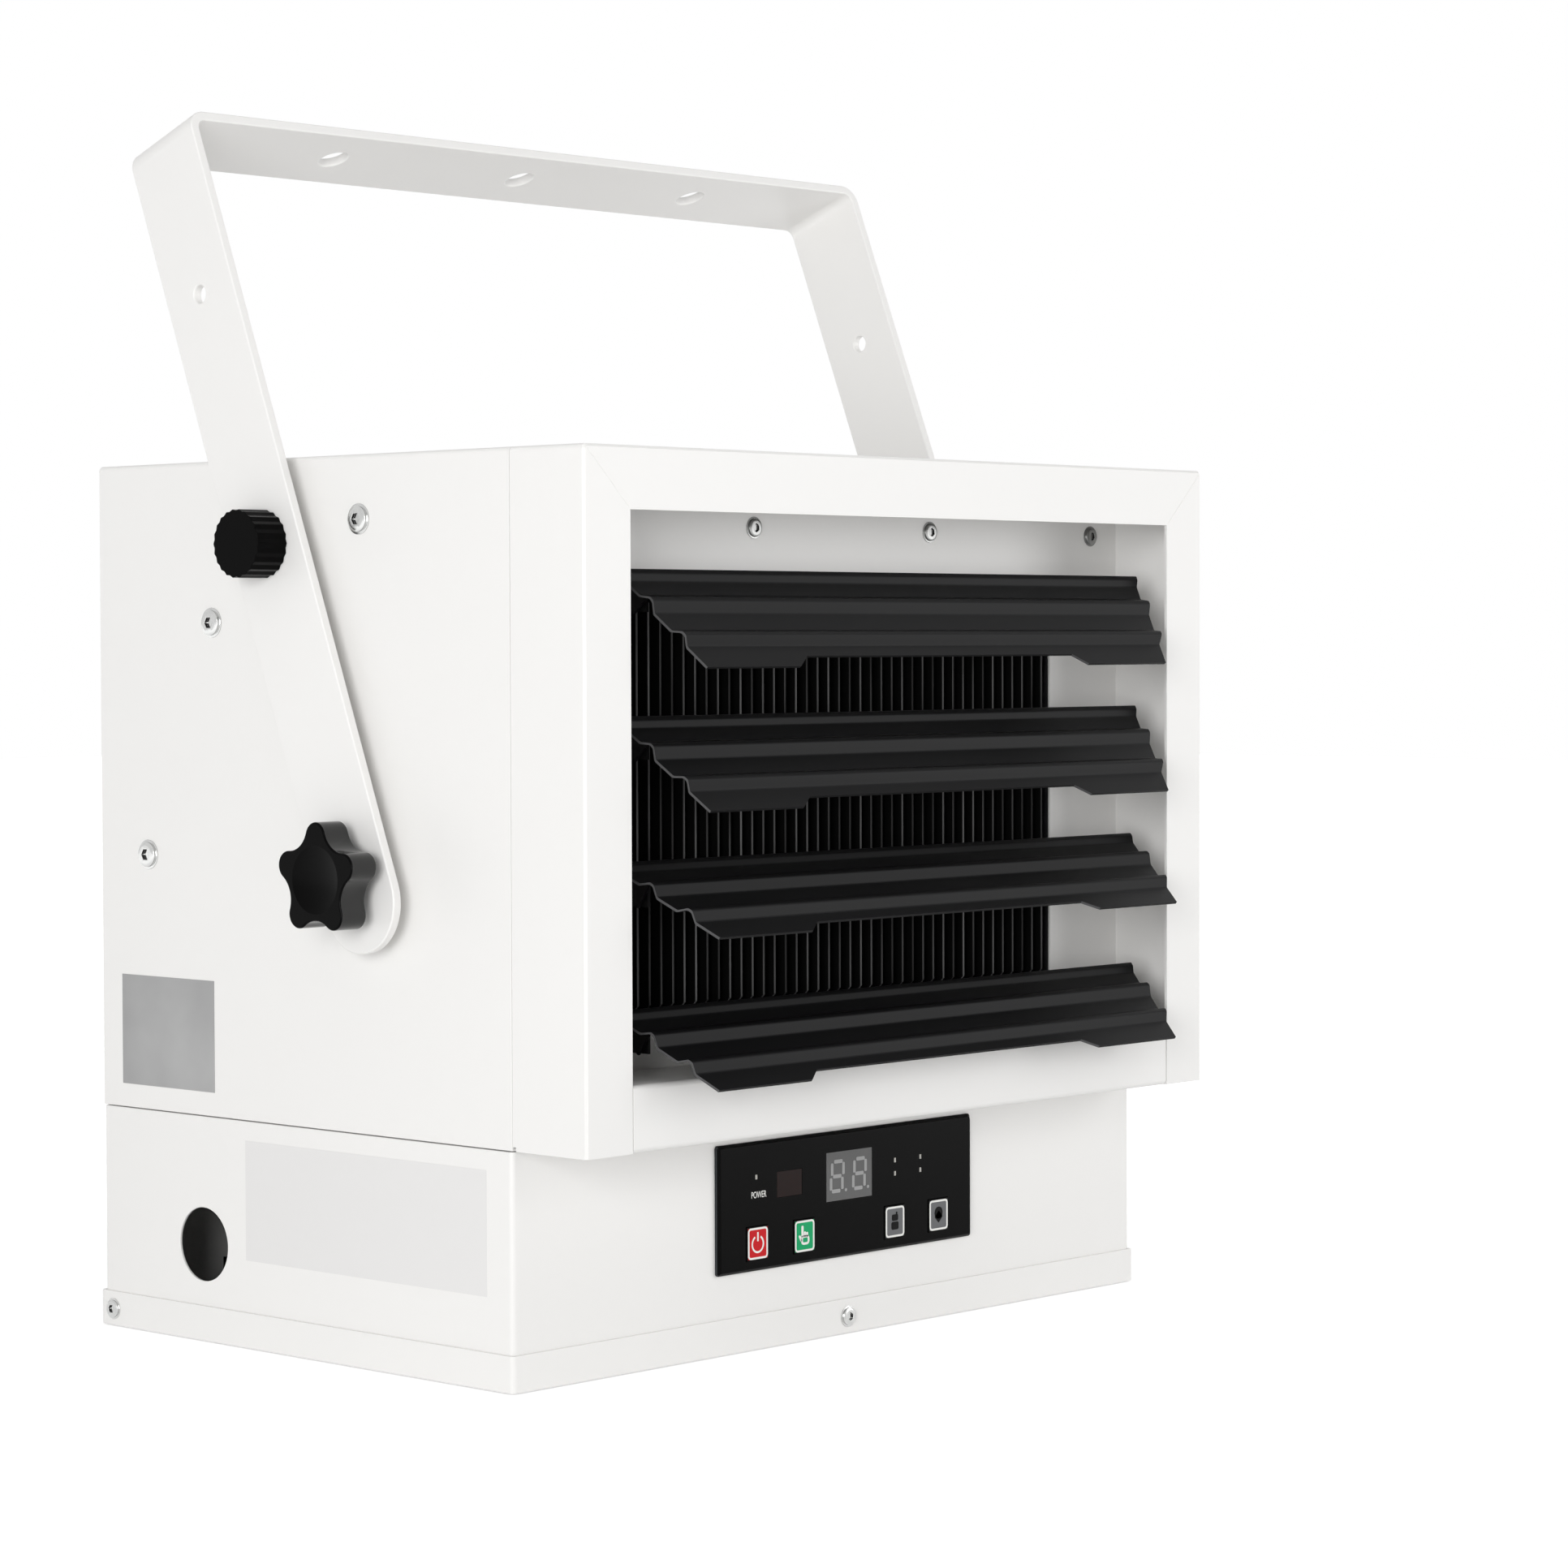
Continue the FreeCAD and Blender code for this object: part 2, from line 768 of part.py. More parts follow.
def motor_bracket():
    # hat-shaped strap: the motor's back sits on its crown, its feet on the rear panel
    crown = motor_back() + slip
    seat = rear_y - sheet - slip
    span = strap_half_span
    t = strap_thickness
    right = [
        (span, crown), (span, seat - t), (span + strap_foot, seat - t), (span + strap_foot, seat),
        (span - t, seat), (span - t, crown + t),
    ]
    left = [(-x, y) for x, y in reversed(right)]
    z0 = fan_height - strap_width / 2
    return straight_face([Vec(x, y, z0) for x, y in right + left]).extrude(z_axis * strap_width)


def control_window():
    half_x = control_width / 2 - control_margin
    half_z = control_height / 2 - control_margin
    return half_x, control_middle - half_z, control_middle + half_z


def base_box():
    low = sheet + slip
    high = seam_z - seam_gap
    outer = rectangle_xy(half_width, rear_y, low, bend_radius).extrude(z_axis * (high - low))
    hollow = block(-inside_x, inside_x, front_y + sheet, rear_y - sheet, low - overrun, high - sheet)
    lid_x = half_width - base_flange
    lid_y = rear_y - base_flange
    lid = block(-lid_x, lid_x, -lid_y, lid_y, low, high + overrun)
    window_x, window_low, window_high = control_window()
    window = block(-window_x, window_x, front_y - overrun, front_y + sheet + overrun, window_low, window_high)
    cable = rod(cable_hole_radius, Vec(-half_width - overrun, rear_y - cable_hole_inset, cable_hole_height),
                x_axis, sheet + 2 * overrun)
    cuts = [hollow, lid, window, cable]
    for seat, outward in tray_screw_places():
        cuts.append(screw_hole(seat, outward, screw_shank_radius, screw_length))
    return outer.cut(cuts)


def base_tray():
    gap = slip + sheet
    outer = rectangle_xy(half_width + gap, rear_y + gap, 0, bend_radius).extrude(z_axis * tray_lip)
    x = half_width + slip
    cuts = [block(-x, x, front_y - slip, rear_y + slip, sheet, tray_lip + overrun)]
    for seat, outward in tray_screw_places():
        cuts.append(screw_hole(seat, outward, screw_shank_radius, screw_length))
    return outer.cut(cuts)


def tray_screws():
    return [sheet_screw(seat, outward) for seat, outward in tray_screw_places()]


def key_places():
    outer = control_width * key_outer_share
    inner = control_width * key_inner_share
    return [-outer, -inner, inner, outer]


def lamp_places():
    columns = (control_width * lamp_inner_share, control_width * lamp_outer_share)
    rows = (lamp_upper_row, lamp_lower_row)
    return [(-control_width * power_lamp_share, power_lamp_row)] + [(x, z) for x in columns for z in rows]


def pane(x, z, width, height, y0, y1, gap):
    # upright rectangle centred on x, z and grown by the gap
    return block(x - width / 2 - gap, x + width / 2 + gap, y0, y1, z - height / 2 - gap, z + height / 2 + gap)


def control_panel():
    face_y = front_y - control_thickness
    half_x = control_width / 2
    low = control_middle - control_height / 2
    high = control_middle + control_height / 2
    plate = block(-half_x, half_x, face_y, front_y, low, high)
    front_edges = [edge for edge in plate.Edges if edge.BoundBox.YMax < face_y + tiny]
    plate = plate.makeChamfer(control_bevel, front_edges)
    rim_x, rim_low, rim_high = control_window()
    rim_y = front_y + control_rim_depth
    rim = block(slip - rim_x, rim_x - slip, front_y, rim_y, rim_low + slip, rim_high - slip)
    wall = slip + control_rim
    rim = rim.cut(block(wall - rim_x, rim_x - wall, front_y - overrun, rim_y + overrun,
                        rim_low + wall, rim_high - wall))
    y0 = face_y - overrun
    y1 = front_y + overrun
    cuts = [pane(x, key_row, key_width, key_height, y0, y1, slip) for x in key_places()]
    cuts.append(pane(0, display_row, display_width, display_height, y0, y1, slip))
    cuts.append(pane(-control_width * ir_share, display_row, ir_width, ir_height, y0, y1, slip))
    for x, z in lamp_places():
        cuts.append(pane(x, z, lamp_width, lamp_height, y0, y1, slip))
    return fused([plate, rim]).cut(cuts)


def key(index):
    x = key_places()[index]
    face_y = front_y - control_thickness - key_proud
    back_y = front_y + face_gap
    end_y = back_y + key_flange_thickness
    cap = pane(x, key_row, key_width, key_height, face_y, back_y, 0)
    flange = pane(x, key_row, key_width, key_height, back_y, end_y, key_flange)
    stem = pane(x, key_row, key_stem, key_stem, end_y, end_y + key_stem_length, 0)
    return fused([cap, flange, stem])


def key_switches():
    y0 = front_y + face_gap + key_flange_thickness + key_stem_length + key_travel + face_gap
    y1 = front_y + board_setback
    return [pane(x, key_row, switch_size, switch_size, y0, y1, 0) for x in key_places()]


def lens(x, width, height):
    y = front_y - control_thickness + lens_recess
    return pane(x, display_row, width, height, y, y + lens_thickness, 0)


def display_window():
    return lens(0, display_width, display_height)


def ir_window():
    return lens(-control_width * ir_share, ir_width, ir_height)


def display_module():
    # digit block between the window and the board
    y = front_y - control_thickness + lens_recess + lens_thickness + slip
    return pane(0, display_row, display_width - slip, display_height - slip, y, front_y + board_setback, 0)


def indicator_lights():
    y = front_y - control_thickness + lens_recess
    return [pane(x, z, lamp_width, lamp_height, y, front_y + board_setback, 0) for x, z in lamp_places()]


def board_span():
    half_x, low, high = control_window()
    return half_x - board_inset, low + board_inset, high - board_inset


def control_board():
    half_x, low, high = board_span()
    y = front_y + board_setback
    return block(-half_x, half_x, y, y + board_thickness, low, high)


def power_board_corner():
    return -power_board_length / 2, front_y + power_board_setback, sheet + slip + power_board_lift


def board_standoffs():
    # square posts from the control panel to its board, and from the tray to the power board
    posts = []
    half_x, low, high = board_span()
    half = post_across / 2
    for x in (half - half_x, half_x - half):
        for z in (low + half, high - half):
            posts.append(pane(x, z, post_across, post_across, front_y, front_y + board_setback, 0))
    x0, y0, z0 = power_board_corner()
    for x in (x0, -x0 - post_across):
        for y in (y0, y0 + power_board_width - post_across):
            posts.append(block(x, x + post_across, y, y + post_across, sheet, z0))
    return posts


def power_board():
    x, y, z = power_board_corner()
    return block(x, x + power_board_length, y, y + power_board_width, z, z + board_thickness)


def relays():
    x0, y0, z0 = power_board_corner()
    z = z0 + board_thickness
    y = y0 + power_board_width - relay_length - relay_gap
    shapes = []
    for i in range(2):
        x = x0 + relay_gap * 2 + i * (relay_width + relay_gap)
        shapes.append(block(x, x + relay_width, y, y + relay_length, z, z + relay_height))
    return shapes


def transformer():
    # wound bobbin inside a laminated core
    x0, y0, z0 = power_board_corner()
    z = z0 + board_thickness
    x = -x0 - transformer_length - relay_gap * 2
    y = y0 + relay_gap * 2
    x1 = x + transformer_length
    y1 = y + transformer_width
    z1 = z + transformer_height
    core = block(x, x1, y, y1, z, z1)
    inset = transformer_width * core_inset_share
    notch = transformer_length * core_notch_share
    slots = []
    for a, b in ((x - overrun, x + notch), (x1 - notch, x1 + overrun)):
        for c, d in ((y - overrun, y + inset), (y1 - inset, y1 + overrun)):
            slots.append(block(a, b, c, d, z - overrun, z1 + overrun))
    return core.cut(slots)


def terminal_corner():
    return terminal_block_inset - half_width, front_y + terminal_block_setback, sheet


def terminal_block():
    # stepped moulding with a barrier rib between the poles
    x0, y0, z0 = terminal_corner()
    x1 = x0 + terminal_block_width
    y1 = y0 + terminal_block_length
    top = z0 + terminal_block_height
    low = top - terminal_step
    body = block(x0, x1, y0, y1, z0, top)
    pitch = (terminal_block_length - terminal_rib) / terminal_poles
    cuts = []
    for i in range(terminal_poles):
        start = y0 + terminal_rib + i * pitch
        end = start + pitch - terminal_rib
        cuts.append(block(x0 - overrun, x0 + terminal_step, start, end, low, top + overrun))
        cuts.append(block(x1 - terminal_step, x1 + overrun, start, end, low, top + overrun))
    return body.cut(cuts)


def earth_screw():
    x, y, z = terminal_corner()
    seat = Vec(x + terminal_block_width / 2, y - earth_screw_gap, sheet)
    return faceted_rod(head_sides, screw_head_radius, seat, z_axis, earth_screw_gap)


def side_plug_screws():
    shapes = []
    for side in (-1, 1):
        for angle in lock_angles:
            seat = lock_place(angle, side * half_width)
            outward = x_axis * side
            shapes.append(screw(seat, outward, plug_head_radius, plug_head, plug_shank_radius, plug_length))
    return shapes


def pivot_spacers():
    # bushes that hold the bracket's arms off the cabinet's sides
    start = Vec(half_width, pivot_y, pivot_height)
    ring = faceted_rod(head_sides, spacer_radius, start, x_axis, arm_gap - face_gap)
    hole = stud_hole(start + x_axis * arm_gap, x_axis, star_stud_radius, arm_gap + overrun)
    return both_sides(ring.cut(hole))


def pivot_nuts():
    # hexagon nuts behind the cabinet's sides, on the star knobs' studs
    corner = nut_across / 2 / math.cos(math.pi / nut_sides)
    seat = Vec(inside_x, pivot_y, pivot_height)
    nut = faceted_rod(nut_sides, corner, seat - x_axis * nut_height, x_axis, nut_height)
    return both_sides(nut.cut(stud_hole(seat, x_axis, star_stud_radius, nut_height + overrun)))


def mounting_bracket():
    # upright about its pivot first, then tilted back
    top = bracket_reach + strip_thickness
    half = strip_width / 2
    end = -arm_tail - half
    points = [
        (-arm_outer, end), (-arm_outer, top), (arm_outer, top), (arm_outer, end),
        (arm_inner, end), (arm_inner, bracket_reach), (-arm_inner, bracket_reach), (-arm_inner, end),
    ]
    bend = bracket_bend_inner
    radii = [0, bend + strip_thickness, bend + strip_thickness, 0, 0, bend, bend, 0]
    strip = rounded_face([Vec(x, -half, z) for x, z in points], radii).extrude(y_axis * strip_width)
    start = -arm_outer - overrun
    length = 2 * (arm_outer + overrun)
    tail = -arm_tail
    outline = [Vec(start, -half, tail), Vec(start, -half, top), Vec(start, half, top), Vec(start, half, tail)]
    round_end = rod(half, Vec(start, 0, tail), x_axis, length)
    arm_shape = fused([straight_face(outline).extrude(x_axis * length), round_end])
    strip = strip.common(arm_shape)
    holes = [
        faceted_hole(star_stud_radius + running_gap, Vec(start, 0, 0), x_axis, length),
        faceted_hole(thumb_stud_radius + running_gap, Vec(start, 0, lock_radius), x_axis, length),
        rod(arm_hole_radius, Vec(start, 0, arm_hole_reach), x_axis, length),
    ]
    for i in (-1, 0, 1):
        place = Vec(i * bar_hole_pitch, 0, bracket_reach - overrun)
        holes.append(rod(bar_hole_radius, place, z_axis, strip_thickness + 2 * overrun))
    bracket = strip.cut(holes)
    bracket.rotate(middle, x_axis, -bracket_tilt)
    bracket.translate(Vec(0, pivot_y, pivot_height))
    return bracket


def star_back():
    return arm_outer + face_gap + star_hub


def star_outline(x):
    # lobe arcs joined by hollow arcs that touch them
    lobe_place = star_radius - star_lobe_radius
    half_step = math.pi / star_lobes
    depth = star_lobe_radius - star_valley
    hollow_place = (lobe_place ** 2 - depth ** 2) / (2 * (depth + lobe_place * math.cos(half_step)))
    hollow_radius = hollow_place - star_valley
    share = star_lobe_radius / (star_lobe_radius + hollow_radius)

    def spot(radius, turn):
        return Vec(x, pivot_y + radius * math.sin(turn), pivot_height + radius * math.cos(turn))

    edges = []
    for i in range(star_lobes):
        turn = 2 * half_step * i
        lobe = spot(lobe_place, turn)
        before = spot(hollow_place, turn - half_step)
        after = spot(hollow_place, turn + half_step)
        following = spot(lobe_place, turn + 2 * half_step)
        start = lobe + (before - lobe) * share
        end = lobe + (after - lobe) * share
        hollow_end = following + (after - following) * share
        edges.append(Part.Arc(start, spot(star_radius, turn), end).toShape())
        edges.append(Part.Arc(end, spot(star_valley, turn + half_step), hollow_end).toShape())
    return Part.Face(Part.Wire(edges))


def star_knob():
    # lobed grip and hub moulded on a stud that reaches through the cabinet's side
    back = star_back()
    place = Vec(0, pivot_y, pivot_height)
    grip = star_outline(back).extrude(x_axis * star_thickness)
    hub = faceted_rod(head_sides, star_hub_radius, place + x_axis * (back - star_hub), x_axis, star_hub)
    start = inside_x - star_stud_inside
    stud = rod(star_stud_radius, place + x_axis * start, x_axis, back - star_hub - start)
    return fused([grip, hub, stud])


def thumb_knob():
    # straight-knurled head moulded on a stud that ends flush with the inside of the arm
    start = arm_outer + face_gap
    place = lock_place(bracket_tilt, start)
    points = []
    for i in range(2 * thumb_ribs):
        turn = math.pi * i / thumb_ribs
        radius = thumb_radius - thumb_knurl * (i % 2)
        points.append(place + Vec(0, radius * math.cos(turn), radius * math.sin(turn)))
    head = straight_face(points).extrude(x_axis * thumb_height)
    stud = rod(thumb_stud_radius, lock_place(bracket_tilt, arm_inner), x_axis, start - arm_inner)
    return fused([head, stud])


def save(name, shape):
    if isinstance(shape, list):
        shape = Part.makeCompound(shape)
    shape.exportStep("parts/" + name + ".step")


plain_pieces = [
    cabinet_wrap, rear_panel, rear_panel_screws, front_hood, hood_bottom_rail, outlet_panel,
    outlet_panel_screws, louvre_brackets, heater_fins, thermal_cutout, chamber_floor, fan_orifice,
    fan_blade, fan_shaft, fan_motor,
    motor_bracket, base_box, base_tray, tray_screws, control_panel, key_switches, display_window, ir_window,
    display_module, indicator_lights, control_board, board_standoffs, power_board, relays, transformer,
    terminal_block, earth_screw, side_plug_screws, pivot_spacers, pivot_nuts, mounting_bracket,
]
for piece in plain_pieces:
    save(piece.__name__, piece())
for piece in (star_knob, thumb_knob):
    right_hand = piece()
    save(piece.__name__ + "_right", right_hand)
    save(piece.__name__ + "_left", mirrored(right_hand))
plate_right = element_end_plate()
save("element_end_plate_right", plate_right)
save("element_end_plate_left", mirrored(plate_right))
for index, name in enumerate(("heating_element_upper", "heating_element_lower")):
    save(name, heating_element(index))
for index in range(len(louvre_tilts)):
    save("louvre_" + str(index + 1), louvre(index))
for index, name in enumerate(("key_power", "key_manual", "key_mode", "key_heat")):
    save(name, key(index))
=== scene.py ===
import json
import math

import bpy
from mathutils import Matrix, Vector

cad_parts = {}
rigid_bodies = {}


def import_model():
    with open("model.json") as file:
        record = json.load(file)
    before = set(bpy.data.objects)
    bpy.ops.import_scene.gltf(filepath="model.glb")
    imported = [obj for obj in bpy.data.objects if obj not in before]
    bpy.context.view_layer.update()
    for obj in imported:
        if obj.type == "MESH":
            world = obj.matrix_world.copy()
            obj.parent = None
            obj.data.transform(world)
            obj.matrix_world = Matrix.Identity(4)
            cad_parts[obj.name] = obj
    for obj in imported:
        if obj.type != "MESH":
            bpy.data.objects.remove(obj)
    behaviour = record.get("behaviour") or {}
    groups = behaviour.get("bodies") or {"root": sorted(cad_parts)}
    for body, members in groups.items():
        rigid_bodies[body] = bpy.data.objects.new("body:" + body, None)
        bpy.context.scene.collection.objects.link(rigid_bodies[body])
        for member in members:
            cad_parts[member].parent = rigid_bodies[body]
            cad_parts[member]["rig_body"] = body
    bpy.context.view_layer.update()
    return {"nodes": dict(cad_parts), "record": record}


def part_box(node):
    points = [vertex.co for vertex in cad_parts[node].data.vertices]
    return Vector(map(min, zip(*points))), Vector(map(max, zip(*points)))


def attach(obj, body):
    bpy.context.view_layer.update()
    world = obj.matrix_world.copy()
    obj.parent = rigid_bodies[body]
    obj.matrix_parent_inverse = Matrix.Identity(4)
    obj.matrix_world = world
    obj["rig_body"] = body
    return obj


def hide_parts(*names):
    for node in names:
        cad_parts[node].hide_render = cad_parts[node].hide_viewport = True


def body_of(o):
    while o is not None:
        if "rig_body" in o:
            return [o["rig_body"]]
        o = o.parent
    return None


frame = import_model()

nodes = frame["nodes"]
print("frame loaded:", len(nodes), "nodes")


def mm(value):
    return value / 1000.0


def place(x, y, z):
    return Vector((mm(x), mm(y), mm(z)))


# colours and materials

def colour(hexText):
    # sRGB hex to linear
    parts = [int(hexText[i:i + 2], 16) / 255 for i in (1, 3, 5)]
    return tuple(p / 12.92 if p <= 0.04045 else ((p + 0.055) / 1.055) ** 2.4 for p in parts) + (1.0,)


def addNode(tree, kind, settings=None, inputs=None):
    # settings are node properties; an input is a value or another node's output socket
    node = tree.nodes.new(kind)
    for name, value in (settings or {}).items():
        setattr(node, name, value)
    for name, value in (inputs or {}).items():
        if isinstance(value, bpy.types.NodeSocket):
            tree.links.new(value, node.inputs[name])
        else:
            node.inputs[name].default_value = value
    return node


def surfaceOf(material):
    tree = material.node_tree
    return tree, tree.nodes["Principled BSDF"]


def newMaterial(name, shader):
    # a Principled surface with constant sockets
    made = bpy.data.materials.new(name)
    made.use_nodes = True
    surface = surfaceOf(made)[1]
    for socket, value in shader.items():
        surface.inputs[socket].default_value = value
    return made


def perMetre(spacing):
    # a pattern's scale from its real spacing in mm, because Object coordinates are metres
    return 1000.0 / spacing


def addGrain(material, spacing, height, strength):
    # fine relief, spacing and height in mm
    tree, surface = surfaceOf(material)
    where = addNode(tree, "ShaderNodeTexCoord")
    noise = addNode(tree, "ShaderNodeTexNoise", None,
                    {"Vector": where.outputs["Object"], "Scale": perMetre(spacing), "Detail": 2.0})
    bump = addNode(tree, "ShaderNodeBump", None,
                   {"Height": noise.outputs["Fac"], "Distance": mm(height), "Strength": strength})
    tree.links.new(bump.outputs["Normal"], surface.inputs["Normal"])


def addShadeNoise(material, spacing, dark, light):
    # slow change of tone over the surface, spacing in mm
    tree, surface = surfaceOf(material)
    where = addNode(tree, "ShaderNodeTexCoord")
    noise = addNode(tree, "ShaderNodeTexNoise", None,
                    {"Vector": where.outputs["Object"], "Scale": perMetre(spacing), "Detail": 3.0})
    ramp = addNode(tree, "ShaderNodeValToRGB", None, {"Fac": noise.outputs["Fac"]})
    ramp.color_ramp.elements[0].color = colour(dark)
    ramp.color_ramp.elements[1].color = colour(light)
    tree.links.new(ramp.outputs["Color"], surface.inputs["Base Color"])


materials = {}

# polyester powder coat: even white, soft wide gloss, faint orange peel about 2.5 mm across
whiteCoat = newMaterial("whitePowderCoat", {"Roughness": 0.42, "IOR": 1.5})
addShadeNoise(whiteCoat, 180.0, "#efeeec", "#f2f1ef")
addGrain(whiteCoat, 2.5, 0.05, 0.12)
materials["white_coat"] = whiteCoat

# galvanised sheet: grey zinc with faint spangle about 6 mm across
galvanised = newMaterial("galvanisedSheet", {"Metallic": 1.0, "Roughness": 0.38})
addShadeNoise(galvanised, 6.0, "#a9acae", "#c3c6c7")
materials["inner_sheet"] = galvanised

# dark grey stove enamel on the louvres: satin, with a soft sheen along the ridges
louvreEnamel = newMaterial("louvreEnamel", {
    "Roughness": 0.45, "IOR": 1.5, "Specular IOR Level": 0.1})
addShadeNoise(louvreEnamel, 60.0, "#0a0a0b", "#0d0d0e")
addGrain(louvreEnamel, 1.6, 0.03, 0.12)
materials["louvre_coat"] = louvreEnamel

# cut ends of the louvre sheet: painted highlight, mid grey against the black enamel, so that each end shows
# as a fine pale line
louvreEndHighlight = newMaterial("shearedSteelEdge", {
    "Base Color": colour("#4a4a4b"), "Roughness": 0.4, "Specular IOR Level": 0.3})

# heat-proof matt black on the fins: nearly no gloss
finShader = {"Base Color": colour("#050505"), "Roughness": 0.62, "IOR": 1.45, "Specular IOR Level": 0.2}
finBlack = newMaterial("heatProofBlack", finShader)
materials["fin_coat"] = finBlack

# front edges of the fins: painted highlight, the black made grey, brighter on some fins than on others
finHighlightTones = {
    # spacing of the painted highlight's change in mm, share of the noise and tone at its least and most
    "across": 8.0, "along": 150.0, "from": 0.4, "to": 0.66, "least": "#1a1a1a", "most": "#6c6c6c",
}
finEdgeHighlight = newMaterial("rubbedFinEdge", finShader)
tree, surface = surfaceOf(finEdgeHighlight)
where = addNode(tree, "ShaderNodeTexCoord")
drawnOut = addNode(tree, "ShaderNodeMapping", None, {
    "Vector": where.outputs["Object"],
    "Scale": (perMetre(finHighlightTones["across"]), perMetre(finHighlightTones["along"]), perMetre(finHighlightTones["along"]))})
highlightNoise = addNode(tree, "ShaderNodeTexNoise", None, {
    "Vector": drawnOut.outputs["Vector"], "Scale": 1.0, "Detail": 1.0})
ramp = addNode(tree, "ShaderNodeValToRGB", None, {"Fac": highlightNoise.outputs["Fac"]})
for step, position, tone in ((0, "from", "least"), (1, "to", "most")):
    ramp.color_ramp.elements[step].position = finHighlightTones[position]
    ramp.color_ramp.elements[step].color = colour(finHighlightTones[tone])
tree.links.new(ramp.outputs["Color"], surface.inputs["Base Color"])

# oxidised steel sheath of the heating strips: brown-grey, dull
oxidisedSheath = newMaterial("oxidisedSheath", {"Metallic": 1.0, "Roughness": 0.5})
addShadeNoise(oxidisedSheath, 12.0, "#5b5450", "#746c66")
materials["element_sheath"] = oxidisedSheath

# bright zinc plate on screws: pale metal with a slightly clouded shine
zincPlate = newMaterial("brightZincPlate", {"Metallic": 1.0, "Roughness": 0.18})
addShadeNoise(zincPlate, 3.0, "#bbbcbc", "#d4d4d2")
materials["zinc"] = zincPlate

# zinc plate of the screws in the air outlet: painted shade, the same zinc greyer and with a softer shine, as
# in the outlet's shadow
shadedZinc = newMaterial("heatDulledZinc", {"Metallic": 1.0, "Roughness": 0.32})
addShadeNoise(shadedZinc, 3.0, "#858686", "#9c9c9a")

# walls of a screw's socket: painted shade, the same plate made near black as in its own shadow
socketShade = newMaterial("oiledSocket", {
    "Base Color": colour("#141414"), "Roughness": 0.4, "Specular IOR Level": 0.1})

# moulded ABS knobs: black with a soft highlight and fine spark-eroded grain,
# drawn at 0.5 mm so that it shows
mouldedBlack = newMaterial("mouldedBlackAbs", {
    "Roughness": 0.2, "IOR": 1.53, "Specular IOR Level": 0.038})
addShadeNoise(mouldedBlack, 20.0, "#020202", "#040404")
addGrain(mouldedBlack, 0.5, 0.02, 0.15)
materials["black_plastic"] = mouldedBlack

# flanks of the star knobs: the same ABS from a polished mould, so that the bright room mirrors in it
polishedBlack = newMaterial("polishedBlackAbs", {"Roughness": 0.16, "IOR": 1.53})
addShadeNoise(polishedBlack, 20.0, "#020202", "#040404")

# back-printed polycarbonate front: deep black with a clear gloss
panelGloss = newMaterial("blackPolycarbonate", {
    "Base Color": colour("#040404"), "Roughness": 0.2, "IOR": 1.58, "Specular IOR Level": 0.035})
materials["panel_black"] = panelGloss

# moulded rim around that front: the same black, painted grey on its side faces as a painted highlight where
# the edge turns to the light
rimHighlight = newMaterial("mouldedPanelRim", {
    "Base Color": colour("#2b2e31"), "Roughness": 0.35, "IOR": 1.53, "Specular IOR Level": 0.2})

# tinted lens over the receiver: almost black, a breath of red
receiverLens = newMaterial("tintedReceiverLens", {
    "Base Color": colour("#1a0906"), "Roughness": 0.2, "IOR": 1.58, "Specular IOR Level": 0.08})
materials["dark_lens"] = receiverLens

# display glass over unlit digits: mid grey, glossy
displayGlass = newMaterial("displayGlass", {
    "Base Color": colour("#626262"), "Roughness": 0.24, "IOR": 1.52, "Specular IOR Level": 0.15})

# unlit digit bars under the glass: paler grey
digitGrey = newMaterial("unlitDigit", {"Base Color": colour("#949494"), "Roughness": 0.45})

# screen-printing ink on the keys and the panel: flat white
printWhite = newMaterial("screenPrintWhite", {"Base Color": colour("#ecece8"), "Roughness": 0.5})

# the same ink in black: flat, no sheen
printBlack = newMaterial("screenPrintBlack", {
    "Base Color": colour("#080808"), "Roughness": 0.6, "Specular IOR Level": 0.1})

# tinted key caps: even colour with the panel's gloss
keyFinishes = {"key_red": "#c8141c", "key_green": "#12a266", "key_grey": "#6b6c6e"}
for slotName, hexText in keyFinishes.items():
    keyPaint = newMaterial("keyCap" + slotName[4:].capitalize(), {
        "Base Color": colour(hexText), "Roughness": 0.26, "IOR": 1.53, "Specular IOR Level": 0.12})
    materials[slotName] = keyPaint

# clear acrylic light pipes: pale and glossy
lightPipe = newMaterial("clearLightPipe", {
    "Base Color": colour("#b2b0aa"), "Roughness": 0.2, "IOR": 1.49, "Specular IOR Level": 0.2})
materials["lamp_pipe"] = lightPipe

# glass-fibre board with green solder mask: mid green with an even gloss
boardGreen = newMaterial("greenSolderMask", {"Roughness": 0.4, "IOR": 1.5})
addShadeNoise(boardGreen, 8.0, "#1d5a2c", "#246a35")
materials["board"] = boardGreen

# varnished steel laminations: dark grey, the varnish a little patchy
stackSteel = newMaterial("varnishedLaminations", {"Metallic": 1.0, "Roughness": 0.45})
addShadeNoise(stackSteel, 4.0, "#5a5a5c", "#737375")
materials["lamination"] = stackSteel

# rolled aluminium fan blades: pale, with a soft even shine
rolledAluminium = newMaterial("rolledAluminium", {"Metallic": 1.0, "Roughness": 0.33})
addShadeNoise(rolledAluminium, 10.0, "#c4c6c8", "#d6d8d9")
materials["fan_metal"] = rolledAluminium

# blank foil plate: satin silver polyester, its tone wandering between mid and pale grey over about 45 mm as a
# painted sheen
foilPlate = newMaterial("silverFoilPlate", {"Metallic": 0.6, "Roughness": 0.36})
addShadeNoise(foilPlate, 45.0, "#808080", "#acacac")

# blank vinyl label: a touch greyer than the coat around it
vinylLabel = newMaterial("paleVinylLabel", {
    "Base Color": colour("#e6e5e4"), "Roughness": 0.5, "IOR": 1.5})
print("materials made:", len(bpy.data.materials))

